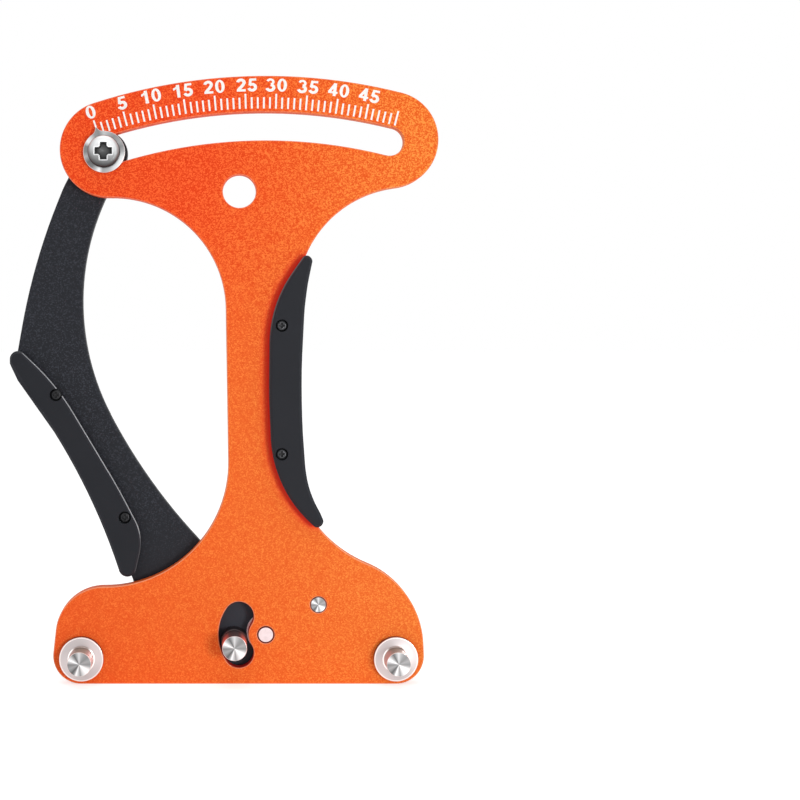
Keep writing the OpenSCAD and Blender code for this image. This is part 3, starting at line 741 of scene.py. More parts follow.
class Value:
    """A shader socket whose arithmetic adds Math nodes to the tree that owns it."""

    def __init__(self, owner, socket):
        self.owner, self.socket = owner, socket

    def __add__(self, other):
        return self.owner.maths("ADD", self, other)

    def __sub__(self, other):
        return self.owner.maths("SUBTRACT", self, other)

    def __rsub__(self, other):
        return self.owner.maths("SUBTRACT", other, self)

    def __mul__(self, other):
        return self.owner.maths("MULTIPLY", self, other)

    def __truediv__(self, other):
        return self.owner.maths("DIVIDE", self, other)

    def __rtruediv__(self, other):
        return self.owner.maths("DIVIDE", other, self)

    def __pow__(self, other):
        return self.owner.maths("POWER", self, other)

    def __rpow__(self, other):
        return self.owner.maths("POWER", other, self)

    __radd__ = __add__
    __rmul__ = __mul__

    def above(self, low, high):
        """0 below low, 1 above high and a smooth step between."""
        made = self.owner.node("ShaderNodeMapRange", {"interpolation_type": "SMOOTHSTEP"},
                               self, low, high, 0.0, 1.0)
        return Value(self.owner, made.outputs[0])

    def clamped(self):
        """The value, held between 0 and 1."""
        made = self.owner.node("ShaderNodeClamp", {}, self)
        return Value(self.owner, made.outputs[0])


class NodeTree:
    """The node tree of a material or of the world."""

    def __init__(self, tree):
        self.tree = tree

    def node(self, kind, settings=None, *values, **named):
        """Adds a node: its settings first, then its sockets in order or by name."""
        made = self.tree.nodes.new(kind)
        for key, value in (settings or {}).items():
            setattr(made, key, value)
        for socket, value in zip(made.inputs, values):
            self.fill(socket, value)
        for key, value in named.items():
            self.fill(made.inputs[key], value)
        return made

    def maths(self, operation, *values):
        """A Math node's result."""
        made = self.node("ShaderNodeMath", {"operation": operation}, *values)
        return Value(self, made.outputs[0])

    def fill(self, socket, value):
        """Links a value to a socket, or sets the socket to a plain number or colour."""
        if isinstance(value, Value):
            value = value.socket
        if isinstance(value, bpy.types.NodeSocket):
            self.tree.links.new(value, socket)
        else:
            socket.default_value = value

    def seen(self):
        """1 for rays from the camera, from a glossy face or through glass."""
        light = self.node("ShaderNodeLightPath")
        rays = [Value(self, light.outputs[name]) for name in (
            "Is Camera Ray", "Is Glossy Ray", "Is Transmission Ray")]
        return self.maths("MAXIMUM", self.maths("MAXIMUM", *rays[:2]), rays[2])


class Finish(NodeTree):
    """A node material with one Principled shader, and the nodes that feed it."""

    def __init__(self, name, **constants):
        self.material = bpy.data.materials.new(name)
        self.material.use_nodes = True
        super().__init__(self.material.node_tree)
        self.shader = self.tree.nodes["Principled BSDF"]
        for key, value in constants.items():
            self.set(key.replace("_", " ").title().replace("Ior", "IOR"), value)
        self.place = self.node("ShaderNodeTexCoord").outputs["Object"]

    def set(self, name, value):
        """Sets or links one of the shader's own sockets."""
        if isinstance(value, (tuple, list)) and len(value) == 3:
            value = (*value, 1.0)
        self.fill(self.shader.inputs[name], value)

    def noise(self, size, detail=2.0, place=None, roughness=0.5):
        """Noise with features of one size, about 0.5 on average."""
        made = self.node("ShaderNodeTexNoise", {}, Vector=place or self.place,
                         Scale=1 / size, Detail=detail, Roughness=roughness)
        return Value(self, made.outputs["Fac"])

    def cells(self, size):
        """Another number between 0 and 1 in each cell of a fine foam."""
        made = self.node("ShaderNodeTexVoronoi", {}, Vector=self.place, Scale=1 / size)
        return self.parts(made.outputs["Color"])[0]

    def parts(self, vector):
        """The x, y and z of a vector."""
        made = self.node("ShaderNodeSeparateXYZ", {}, vector)
        return [Value(self, socket) for socket in made.outputs]

    def attribute(self, name):
        """A number that the mesh holds for each point."""
        made = self.node("ShaderNodeAttribute", {"attribute_name": name})
        return Value(self, made.outputs["Fac"])

    def normal(self):
        """The way the surface faces."""
        return self.node("ShaderNodeNewGeometry").outputs["Normal"]

    def round_axis(self):
        """Offset from the part's own axis, as distance and as share of a turn."""
        made = self.node("ShaderNodeAttribute", {"attribute_name": "axis"})
        x, _, z = self.parts(made.outputs["Vector"])
        turn = self.maths("FRACT", self.maths("ARCTAN2", z, x) / (2 * math.pi))
        return (x * x + z * z) ** 0.5, turn, x, z

    def hidden(self, reach):
        """How much of the room in front of a point is hidden by shapes within reach."""
        made = self.node("ShaderNodeAmbientOcclusion", {"samples": 12}, Distance=reach)
        return 1 - Value(self, made.outputs["AO"])

    def facing(self):
        """1 on faces that look to the front or to the back."""
        y = self.parts(self.normal())[1]
        return (y * y).above(0.86, 0.985)

    def ramp(self, value, stops):
        """A level read off a row of (place, level) stops."""
        made = self.node("ShaderNodeValToRGB", {}, value)
        ladder = made.color_ramp.elements
        for place, _ in stops[1:-1]:
            ladder.new(place)
        for step, (place, level) in zip(ladder, stops):
            step.position, step.color = place, (level, level, level, 1)
        return Value(self, made.outputs[0])

    def wedges(self, turn, stops):
        """A level read off stops round the axis, in degrees."""
        return self.ramp(turn, [(degrees / 360, level) for degrees, level in stops])

    def mix(self, share, first, second):
        """Colour between two colours."""
        made = self.node("ShaderNodeMix", {"data_type": "RGBA"})
        for socket, value in ((made.inputs[0], share), (made.inputs[6], first),
                              (made.inputs[7], second)):
            if isinstance(value, (tuple, list)):
                value = (*value, 1.0)
            self.fill(socket, value)
        return made.outputs[2]

    def tint(self, colour, value):
        """A colour times a number."""
        return self.mix(value, (0.0, 0.0, 0.0), colour)

    def bump(self, height, distance, strength=1.0):
        """Feeds a height to the shader's normal."""
        made = self.node("ShaderNodeBump", {}, Strength=strength, Distance=distance,
                         Height=height)
        self.set("Normal", made.outputs[0])


def times(colour, share):
    """A colour made brighter or darker, each part held under 1."""
    return tuple(min(part * share, 1.0) for part in colour)


def orange_finish(coat):
    """Orange powder coat: light and dark grain round a tone that runs from deep at the head's
    left to light at its right, a fine bump, a painted highlight along the edges, painted shade
    on the walls of the small holes in the foot, and a deep red painted shade along the grip that
    is fixed to the plate."""
    finish = Finish("orange_coat", specular_ior_level=0.16)
    size = coat.grain_size
    fine = finish.noise(size * 1.5, 1)
    speck = finish.cells(size)
    x, _, height = finish.parts(finish.place)
    forward = finish.parts(finish.normal())[1] * -1
    up = height.above(*FOOT_TO_HEAD)
    # The tone rises slowly across the foot and faster across the head
    tone = (x * 6.2 + 0.56 + up * (x * 10.5 - 0.43)).clamped()
    grain = (fine - 0.5) * 0.3 + (speck * speck - 0.333) * (0.75 + up * 0.9) + 0.42
    deep, light = tuple(coat.plate_deep), tuple(coat.plate_light)
    shades = [tuple(min(part * share, 1.0) for part, share in zip(colour, shares))
              for shares in GRAIN_SHARES for colour in (deep, light)]
    body = finish.mix(grain.clamped(), finish.mix(tone, *shades[:2]),
                      finish.mix(tone, *shades[2:]))
    # Painted highlight along the rounded edges, weaker on the head
    worn = finish.attribute("edge") * (0.62 - up * 0.32)
    body = finish.mix(worn, body, tuple(coat.plate_rim))
    # Painted shade: deep red on the plate beside the fixed grip, where the grip hides the room in front of it
    beside = height.above(*UNDER_GRIP) * (1 - height.above(*OVER_GRIP))
    beside = beside * forward.above(0.6, 0.9) * finish.hidden(SHADE_REACH).above(0.08, 0.40)
    body = finish.mix(beside, body, GRIP_SHADE)
    # Painted shade on the walls of the foot's small holes
    inside = finish.attribute("wall") * (1 - up)
    finish.set("Base Color", finish.mix(inside, body, tuple(coat.plate_shade)))
    finish.set("Roughness", 0.5 + (fine - 0.5) * 0.25)
    finish.bump(fine, size * 0.12, 0.6)
    return finish.material


def black_coat_finish(coat):
    """Charcoal powder coat with lighter specks, a fine bump and a painted highlight that makes its
    edge slightly greyer. The front of the end behind the plate is smoother, and painted light
    makes it lighter, most of all at its tip."""
    finish = Finish("black_coat", specular_ior_level=0.14)
    size = coat.grain_size
    fine = finish.noise(size * 1.4, 2, roughness=0.6)
    speck = finish.cells(size)
    colour = tuple(coat.lever_colour)
    _, y, height = finish.parts(finish.place)
    front = 1 - y.above(*LEVER_FACE)
    rough = 1 - front * (1 - height.above(*SMOOTH_TO_ROUGH))
    specks = (fine * 0.25 + speck * 0.75).above(0.52, 0.93) * (0.15 + rough * 0.85)
    body = finish.mix(specks, times(colour, 0.94), times(colour, 2.4))
    # Painted light on the front of the end behind the plate, most of all at its tip
    painted_light = (1 - rough) * 0.15 + front * (1 - height.above(*ABOVE_TIP)) * 1.5
    body = finish.mix(painted_light / 3, body, times(colour, 3.6))
    # Painted highlight along the rounded edges
    worn = finish.attribute("edge")
    finish.set("Base Color", finish.mix(worn * 0.15, body, tuple(coat.lever_rim)))
    finish.set("Roughness", 0.5 + (fine - 0.5) * 0.3)
    finish.bump(fine, size * 0.2, 0.6)
    return finish.material


def plastic_finish(name, colour, size=0.0003, roughness=0.45, specular=0.12):
    """Moulded plastic with a fine spark-eroded texture and slow changes of gloss. A painted
    highlight makes faces that slope forward and aside lighter, and a painted glint lies on the
    rim that looks forward and aside, most of all where it points along the shape's own glint, in
    a narrow band behind the front face."""
    finish = Finish(name, specular_ior_level=specular)
    fine = finish.noise(size, 2)
    slow = finish.noise(0.012, 2)
    body = finish.mix(slow, times(colour, 0.9), times(colour, 1.12))
    normal = finish.normal()
    forward = finish.parts(normal)[1] * -1
    glint = finish.node("ShaderNodeAttribute", {"attribute_name": "glint"})
    along = finish.node("ShaderNodeVectorMath", {"operation": "DOT_PRODUCT"}, normal,
                        glint.outputs["Vector"]).outputs["Value"]
    along = Value(finish, along) / (1.001 - forward * forward) ** 0.5
    # Painted highlight on faces that slope forward and aside
    slope = forward.above(0.5, 0.65) * (1 - forward.above(0.85, 0.95))
    body = finish.mix(slope * 0.5, body, times(colour, 1.9))
    # Painted glint on the rim, in a narrow band behind the front face
    rim = forward.above(0.3, 0.5) * (1 - forward.above(0.88, 0.96))
    depth = finish.attribute("depth")
    rim = rim * depth.above(*GLINT_START) * (1 - depth.above(*GLINT_END))
    shine = finish.attribute("shine") * (along.above(0.86, 0.985) * 0.85
                                         + along.above(0.3, 0.8) * 0.15)
    finish.set("Base Color", finish.mix(rim * shine, body, GLINT_COLOUR))
    finish.set("Roughness", roughness + (fine - 0.5) * 0.12 + (slow - 0.5) * 0.08)
    finish.bump(fine, size * 0.05, 0.5)
    return finish.material


def standing_post(finish, body, side, facing, axis, y):
    """The body colour of a post that stands out of the plate, with painted light and shade. The
    side is given as radius, colour above and colour aside: painted shade above and a painted
    reflection of the orange plate aside. It has these colours near its end and painted shade
    makes it darker at its root, a painted highlight makes the fillet round it bright at left and
    right, and the flange has a painted highlight along its face's rim and painted shade on its
    own side, most of all above."""
    radius, above, aside = side
    away, x, z = axis
    # Painted highlight along the flange face's rim
    body = finish.mix(facing * away.above(*FLANGE_RIM) * 0.7, body, PAINTED_EDGE_HIGHLIGHT)
    # The side: painted shade above and at the root, painted reflection of the orange plate aside
    flank = (x / away) * (x / away)
    near = 1 - y.above(*POST_ROOT)
    flat = finish.mix(flank.above(0.05, 0.6) * near, finish.mix(near, ROOT_PAINTED_SHADE, above), aside)
    outer, past, wall = (away.above(radius * low, radius * high)
                         for low, high in (FILLET_START, FILLET_END, FLANGE_SIDE))
    # The fillet: painted shade above, painted highlight at left and right
    arcs = finish.mix(flank.above(0.2, 0.6), *FILLET_PAINTED_SHADE_AND_HIGHLIGHT)
    body = finish.mix(outer * (1 - past), body, arcs)
    # The flange's side: painted shade, darkest above
    dark = finish.mix((z / away).above(-0.5, 0.4), *FLANGE_PAINTED_SHADE)
    body = finish.mix((1 - facing) * wall, body, dark)
    within = (1 - facing) * (1 - outer)
    finish.set("Metallic", 1 - within * 0.7)
    return finish.mix(within, body, flat)


def turned_finish(name, steel, wedges, end_radius, outside=None, side=None, rim=0.7):
    """Turned steel. Inside end_radius, the end faces show painted highlights, light and dark
    wedges, which follow the angle round the axis. Outside it they are satin, with painted light
    and dark that change slowly round the axis, or have a colour of their own as far as the
    plate's back, which on the pins is a painted dark ring of shade. A side given adds the
    painted light and shade of a standing post. A painted highlight runs along the rounded edges.
    Fine rings cover all of it."""
    finish = Finish(name, metallic=1.0)
    away, turn, x, z = finish.round_axis()
    y = finish.parts(finish.place)[1]
    drawn = finish.node("ShaderNodeCombineXYZ", {}, away, y, 0.0).outputs[0]
    rings = finish.noise(0.00008, 2, drawn)
    texture = 0.94 + rings * 0.12
    bright, satin = tuple(steel.turned), tuple(steel.satin)
    facing = finish.facing()
    # Painted light and dark that change slowly round the axis, on the satin faces
    slow = (0.87 + finish.maths("COSINE", turn * (4 * math.pi) - 0.9) * 0.10
            + finish.maths("COSINE", turn * (2 * math.pi) - 0.6) * 0.06)
    body = finish.tint(satin, slow * texture)
    # A colour given reaches as far as the plate's back; on the pins it is a painted dark ring of shade
    if outside:
        body = finish.mix(y.above(*PAST_PLATE), finish.tint(outside, texture), body)
    if side:
        body = standing_post(finish, body, side, facing, (away, x, z), y)
    inside = facing * (1 - away.above(end_radius * 0.99, end_radius * 1.01))
    # Painted highlights in light and dark wedges round the axis, on the end face
    painted_wedges = finish.wedges(turn, wedges)
    body = finish.mix(inside, body, finish.tint(bright, (painted_wedges * 1.14 - 0.12) * texture))
    # Painted highlight along the rounded edges
    worn = finish.attribute("edge") * rim
    finish.set("Base Color", finish.mix(worn, body, PAINTED_EDGE_HIGHLIGHT))
    finish.set("Roughness", 0.32 + (rings - 0.5) * 0.2)
    return finish.material


def pin_finish(name, end_radius):
    """Plain ground end of the pivot pin: pale, faintly mottled, with a painted dark red-brown ring
    of shade as far as the plate's back."""
    finish = Finish(name, metallic=1.0)
    cloud = finish.noise(0.0007, 2)
    away = finish.round_axis()[0]
    body = finish.tint((0.72, 0.61, 0.62), 0.94 + (cloud - 0.5) * 0.3)
    behind = finish.parts(finish.place)[1].above(*PAST_PLATE)
    # Painted shade: a dark ring round the pin's end
    rim = away.above(end_radius * 0.98, end_radius * 1.02) * (1 - behind)
    finish.set("Base Color", finish.mix(rim, body, PAINTED_PIN_SHADE))
    finish.set("Roughness", 0.40 + (cloud - 0.5) * 0.2)
    return finish.material


def plated_finish(name, colour, roughness=0.30, level=0.92):
    """Bright plated steel with a faint cloud."""
    finish = Finish(name, metallic=1.0)
    cloud = finish.noise(0.0016, 3)
    finish.set("Base Color", finish.tint(colour, level + (cloud - 0.5) * 0.2))
    finish.set("Roughness", roughness + (cloud - 0.5) * 0.16)
    return finish.material


def head_finish(name, steel):
    """Domed plated head with painted light and shade: a painted reflection bright above and dark
    below, painted shade round the shoulder that is darkest at its foot, painted shade in the
    recess and a painted highlight on its lip. Everything follows the offset from the screw's own
    axis."""
    finish = Finish(name, specular_ior_level=0.1)
    away, _, x, z = finish.round_axis()
    lift = z + x * 0.06
    # Painted reflection: bright above, dark below
    shade = finish.ramp(lift * 0.5 + 0.5, HEAD_PAINTED_LIGHT)
    # Painted shade round the shoulder
    shoulder = away.above(0.60, 0.93)
    recess = finish.attribute("recess")
    lip = finish.attribute("lip") * (1 - away.above(0.6, 0.7))
    cloud = finish.noise(0.0005, 2)
    level = shade * (1 - shoulder * (0.34 - z * 0.1)) * (0.95 + cloud * 0.1)
    # Painted shade at the head's foot, weaker past the plate's back
    behind = finish.parts(finish.place)[1].above(*PAST_PLATE)
    foot = away.above(0.945, 0.985) * (1 - behind * 0.55)
    level = level * (1 - foot * 0.9)
    # Painted highlight on the recess's lip
    level = level + lip * (1.0 - level) * 0.7
    # Painted shade in the recess
    floor = finish.maths("MAXIMUM", 0.13 - away * 0.22, 0.012)
    level = level + recess * (floor - level)
    finish.set("Base Color", finish.tint(tuple(steel.turned), level))
    finish.set("Metallic", 1 - foot * 0.95)
    finish.set("Roughness", 0.5 + (cloud - 0.5) * 0.1)
    return finish.material


def black_finish(name, colour, worn="lip"):
    """Blackened steel with a painted highlight and a little wear along its lip or edge, more where
    the noise is high. Painted shade makes a screw's recess darker."""
    finish = Finish(name, metallic=0.5)
    cloud = finish.noise(0.0004, 3)
    # Painted highlight, with a little wear, along the lip or edge
    share = finish.attribute(worn) * (cloud.above(0.45, 0.7) * 0.4 + 0.1)
    body = finish.mix(share, colour, (0.36, 0.36, 0.38))
    # Painted shade in a screw's recess
    if worn == "lip":
        body = finish.mix(finish.attribute("recess") * 0.9, body, (0.003, 0.003, 0.004))
    finish.set("Base Color", body)
    finish.set("Roughness", 0.5 + (cloud - 0.5) * 0.2)
    return finish.material


def ink_finish(name, colour):
    """Screen-printed ink, a little uneven."""
    finish = Finish(name, specular_ior_level=0.2)
    patch = finish.noise(0.0004, 2)
    finish.set("Base Color", finish.tint(colour, 0.97 + (patch - 0.5) * 0.08))
    finish.set("Roughness", 0.5 + (patch - 0.5) * 0.2)
    return finish.material


def wire_finish(name, colour):
    """Drawn spring wire with fine lengthwise marks and a slow change along it."""
    finish = Finish(name, metallic=1.0)
    marks = finish.noise(0.00025, 3)
    along = finish.node("ShaderNodeCombineXYZ", {}, finish.attribute("along"), 0.0, 0.0)
    slow = finish.noise(0.004, 2, along.outputs[0])
    finish.set("Base Color", finish.tint(colour, 0.8 + marks * 0.25 + (slow - 0.5) * 0.3))
    finish.set("Roughness", 0.32 + (marks - 0.5) * 0.25)
    return finish.material


def add(piece, body, material, slot, *replaced):
    """Finishes a new piece: its material, the body it rides on and what it stands for."""
    piece.data.materials.append(material)
    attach(piece, body)
    if replaced:
        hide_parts(*replaced)
    return piece


# Sizes read off the CAD nodes

def middle(node):
    """Middle of a node's box."""
    low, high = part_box(node)
    return (np.array(low) + np.array(high)) / 2


def radius_of(node):
    """Radius of a round node that points to the front."""
    low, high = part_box(node)
    return (high.x - low.x) / 2


def reach_of(node):
    """Front and back of a node."""
    low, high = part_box(node)
    return low.y, high.y


def pair(node, axis):
    """Middles of the two solids of a node, which lie apart along one axis."""
    points, _ = welded(node)
    split = (points[:, axis].min() + points[:, axis].max()) / 2
    halves = points[points[:, axis] > split], points[points[:, axis] <= split]
    return [(half.min(axis=0) + half.max(axis=0)) / 2 for half in halves]


def bevelled(piece, width, angle=35, segments=2):
    """Rounds a piece's crisp edges, after faces that lie in one plane are made one."""
    flatten = piece.modifiers.new("flatten", "DECIMATE")
    flatten.decimate_type = "DISSOLVE"
    flatten.angle_limit = math.radians(0.5)
    bevel = piece.modifiers.new("edges", "BEVEL")
    bevel.width, bevel.segments = width, segments
    bevel.limit_method, bevel.angle_limit = "ANGLE", math.radians(angle)
    bevel.harden_normals = True
    return piece


def filled_out(points, edge):
    """Points whose outer edge is moved sideways. A point on the edge moves by the whole way,
    and one further in by the share s s (3 - 2 s), where s falls from 1 to 0 over the reach.
    All stay within the part's own box."""
    height, place, out = np.array(edge).T * MM
    gap = np.abs(points[:, 0] - np.interp(points[:, 2], height, place))
    s = np.clip(1 - gap / EDGE_REACH, 0, 1)
    moved = points.copy()
    moved[:, 0] += np.interp(points[:, 2], height, out) * s * s * (3 - 2 * s)
    moved[:, 0] = np.clip(moved[:, 0], CAD_BOX[0].x, CAD_BOX[1].x)
    return moved


def merged_piece(name, node, width, glint=None, shine=0.0, edge=None):
    """A CAD node's own shape as one skin, with its crisp edges rounded. A glint given is kept
    for the finish's painted glint, with its strength and each point's depth behind the front. An
    edge given makes the shape fuller along that edge."""
    points, triangles = welded(node)
    if edge:
        points = filled_out(points, edge)
    fields = {} if glint is None else {
        "glint": np.tile(np.asarray(glint, float), (len(points), 1)),
        "shine": np.full(len(points), shine), "depth": points[:, 1] - points[:, 1].min()}
    return bevelled(surface(name, points, [triangles], CRISP_MOULDING, **fields), width)


def ring(node, centre, bore, edge):
    """A round ring in the place of a node, with its edges rounded."""
    near, far = reach_of(node)
    outer = radius_of(node)
    profile = [(bore, near), (outer, near), (outer, far), (bore, far)]
    return joined(node + "_ring", [turned_shape(centre, profile, edge, True)])


def turned(node, centre, profile, edge):
    """A solid turned piece in the place of a node, with its edges rounded."""
    return joined(node + "_turned", [turned_shape(centre, profile, edge)])


# Operators

class METER_OT_sheets(bpy.types.Operator):
    """Face plate and lever with rounded, powder-coated edges"""
    bl_idname = "meter.sheets"
    bl_label = "Coated sheets"

    def execute(self, context):
        coat = context.scene.meter_coat
        add(rounded_sheet("coated_plate", "face_plate", coat.edge_radius), "frame",
            orange_finish(coat), "orange_coat", "face_plate")
        add(rounded_sheet("coated_lever", "lever_arm", coat.edge_radius), "lever",
            black_coat_finish(coat), "black_coat", "lever_arm")
        return {"FINISHED"}


class METER_OT_grips(bpy.types.Operator):
    """Satin plastic grips with rounded edges, and their sunk black screws"""
    bl_idname = "meter.grips"
    bl_label = "Grips"

    def execute(self, context):
        plastic = context.scene.meter_plastic
        satin = plastic_finish("grip_plastic", tuple(plastic.grip))
        black = black_finish("screw_black", tuple(context.scene.meter_steel.black))
        head = context.scene.meter_turned.grip_head
        for side, body, aside, shine, worn, screw_painted_shade in GRIPS:
            node = f"{side}_grip_front"
            edge = GRIP_EDGES[side]
            add(merged_piece(node + "_shell", node, plastic.grip_edge, (aside, 0, 0.475), shine,
                             edge), body, satin, "grip_plastic", node)
            node = f"{side}_grip_rear"
            add(merged_piece(node + "_shell", node, plastic.grip_edge, edge=edge), body, satin,
                "grip_plastic", node)
            node = f"{side}_grip_screws"
            front, back = reach_of(node)
            parts = [screw_shape(spot, front + head, -1, GRIP_HEAD, head, GRIP_SHANK,
                                 back - front - head, 40) for spot in pair(node, 2)]
            # Painted highlight on the screws' lips, and painted shade that darkens the left grip's screws
            for _, _, fields in parts:
                fields["lip"] *= worn
                fields["recess"] = np.maximum(fields["recess"], screw_painted_shade)
            add(joined(f"{side}_sunk_screws", parts, CRISP), body, black,
                "screw_black", node)
        return {"FINISHED"}


class METER_OT_posts(bpy.types.Operator):
    """Turned posts and pins, with painted wedges of light on their end faces"""
    bl_idname = "meter.posts"
    bl_label = "Posts and pins"

    def execute(self, context):
        steel, sizes = context.scene.meter_steel, context.scene.meter_turned
        edge = sizes.edge
        posts = turned_finish("turned_steel", steel, TURNED_PAINTED_HIGHLIGHTS, POST_END,
                              side=(POST_SIDE, *POST_PAINTED_SHADE_AND_REFLECTION))
        moving = turned_finish("moving_steel", steel, TURNED_PAINTED_HIGHLIGHTS, POST_END,
                               side=(MOVING_SIDE, *MOVING_PAINTED_SHADE_AND_REFLECTION))
        pins = turned_finish("pin_end_steel", steel, TURNED_PAINTED_HIGHLIGHTS, PIN_END, PAINTED_PIN_SHADE, rim=0.0)
        for node in ("left_post", "right_post"):
            front, back = reach_of(node)
            flange = radius_of(node)
            post = MOUNTS[node]["dims"]["r_mm"] * MM
            top, floor = back - sizes.flange, back - sizes.bore_depth
            fillet = arc((post + FILLET, top - FILLET), (FILLET, FILLET), 180, 90, 5)
            profile = [(0, front), (post, front), *map(tuple, fillet), (flange, top),
                       (flange, back), (sizes.bore / 2, back), (sizes.bore / 2, floor),
                       (0, floor)]
            add(turned(node, middle(node), profile, edge), "frame", posts, "turned_steel", node)
        front, back = reach_of("moving_post")
        post = MOUNTS["moving_post"]["dims"]["r_mm"] * MM
        collar = radius_of("moving_post")
        lever_front, _ = reach_of("lever_arm")
        profile = [(0, front), (post, front), (post, sizes.collar),
                   (collar, sizes.collar + COLLAR_SLOPE), (collar, lever_front),
                   (sizes.rivet / 2, lever_front), (sizes.rivet / 2, back), (0, back)]
        shape = turned_shape(middle("moving_post"), profile, edge)
        # Only the edge of its end gets the painted highlight
        shape[2]["edge"] *= shape[0][:, 1] < front + MM
        add(joined("moving_post_turned", [shape]), "lever", moving, "turned_steel",
            "moving_post")
        for node, body in (("spring_anchor_pin", "frame"), ("lever_spring_pin", "lever")):
            front, back = reach_of(node)
            wide = radius_of(node)
            profile = [(0, front), (wide, front), (wide, back), (0, back)]
            add(turned(node, middle(node), profile, edge), body, pins, "turned_steel", node)
        return {"FINISHED"}


class METER_OT_pivot(bpy.types.Operator):
    """Pivot pin with its groove, spacer, sleeve, washer and clip"""
    bl_idname = "meter.pivot"
    bl_label = "Pivot"

    def execute(self, context):
        steel, sizes = context.scene.meter_steel, context.scene.meter_turned
        front, back = reach_of("pivot_pin")
        clip_front, clip_back = reach_of("pivot_clip")
        wide = radius_of("pivot_pin")
        profile = [(0, front), (wide, front), (wide, clip_front), (GROOVE, clip_front),
                   (GROOVE, clip_back + PIN_ROOM), (wide, clip_back + PIN_ROOM), (wide, back),
                   (0, back)]
        add(turned("pivot_pin", PIVOT, profile, sizes.edge), "frame",
            pin_finish("pin_steel", PIVOT_END), "pin_steel", "pivot_pin")
        satin = plated_finish("satin_steel", SPACER_COLOUR, 0.4)
        bright = plated_finish("screw_steel", tuple(steel.turned))
        nylon = plastic_finish("white_nylon", tuple(context.scene.meter_plastic.nylon))
        for node, material, slot in (("pivot_spacer", satin, "pin_steel"),
                                     ("pivot_washer", bright, "screw_steel"),
                                     ("spring_sleeve", nylon, "white_nylon")):
            add(ring(node, PIVOT, wide + PIN_ROOM, SMALL_EDGE), "frame", material, slot, node)
        add(merged_piece("pivot_clip_stamped", "pivot_clip", CLIP_EDGE), "frame",
            black_finish("spring_black", tuple(steel.black), "edge"), "spring_black",
            "pivot_clip")
        return {"FINISHED"}


class METER_OT_spring(bpy.types.Operator):
    """Torsion spring as a smooth wound wire"""
    bl_idname = "meter.spring"
    bl_label = "Spring"

    def execute(self, context):
        spring = context.scene.meter_spring
        front, back = reach_of("torsion_spring")
        near, far = front + spring.wire / 2, back - spring.wire / 2
        sweep = 2 * math.pi * spring.turns + 2 * spring.tilt
        # The coil starts where the lever's leg touches it as a tangent
        angle = 1.5 * math.pi - spring.tilt + np.linspace(0, sweep, int(sweep / COIL_STEP))
        coil = np.stack([PIVOT[0] + spring.coil * np.cos(angle),
                         np.linspace(near, far, len(angle)),
                         PIVOT[2] + spring.coil * np.sin(angle)], axis=1)
        out = np.array([math.cos(spring.tilt), 0, math.sin(spring.tilt)])
        reach = LEG_SHARES[:, None] * spring.leg
        lever_leg = coil[0] + reach * out * [-1, 1, 1]
        fixed_leg = coil[-1] + reach[::-1] * out
        piece = wound_wire("wound_spring", np.concatenate([lever_leg, coil, fixed_leg]),
                           spring.wire / 2)
        piece.data.materials.append(wire_finish(
            "spring_steel", tuple(context.scene.meter_steel.wire)))
        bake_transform(piece)
        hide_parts("torsion_spring")
        return {"FINISHED"}


class METER_OT_pointer(bpy.types.Operator):
    """Pointer with softened edges, its domed screw, bush and nut, and the posts' screws"""
    bl_idname = "meter.pointer"
    bl_label = "Pointer and large screws"

    def execute(self, context):
        steel, sizes = context.scene.meter_steel, context.scene.meter_turned
        centre = middle("pointer_screw")
        pointer = rounded_sheet("steel_pointer", "pointer", SMALL_EDGE, centre=centre)
        add(pointer, "lever", turned_finish("pointer_steel", steel, POINTER_PAINTED_HIGHLIGHTS,
                                            POINTER_END), "turned_steel", "pointer")
        heads = head_finish("plated_head", steel)
        height, wide, shank = sizes.screw_head, radius_of("pointer_screw"), sizes.bore / 2
        front, back = reach_of("pointer_screw")
        part = screw_shape(centre, front + height, -1, wide, height, shank,
                           back - front - height)
        add(joined("pointer_screw_turned", [part], CRISP), "lever", heads,
            "screw_steel", "pointer_screw")
        front, back = reach_of("post_screws")
        parts = [screw_shape(spot, back - height, 1, wide, height, shank, back - height - front)
                 for spot in pair("post_screws", 0)]
        add(joined("post_screws_turned", parts, CRISP), "frame", heads,
            "screw_steel", "post_screws")
        bush = ring("pointer_bush", middle("pointer_bush"), shank + BUSH_ROOM, BUSH_EDGE)
        add(bush, "lever", bpy.data.materials["white_nylon"], "white_nylon", "pointer_bush")
        add(merged_piece("pointer_nut_turned", "pointer_nut", SMALL_EDGE), "lever",
            bpy.data.materials["screw_steel"], "screw_steel", "pointer_nut")
        return {"FINISHED"}


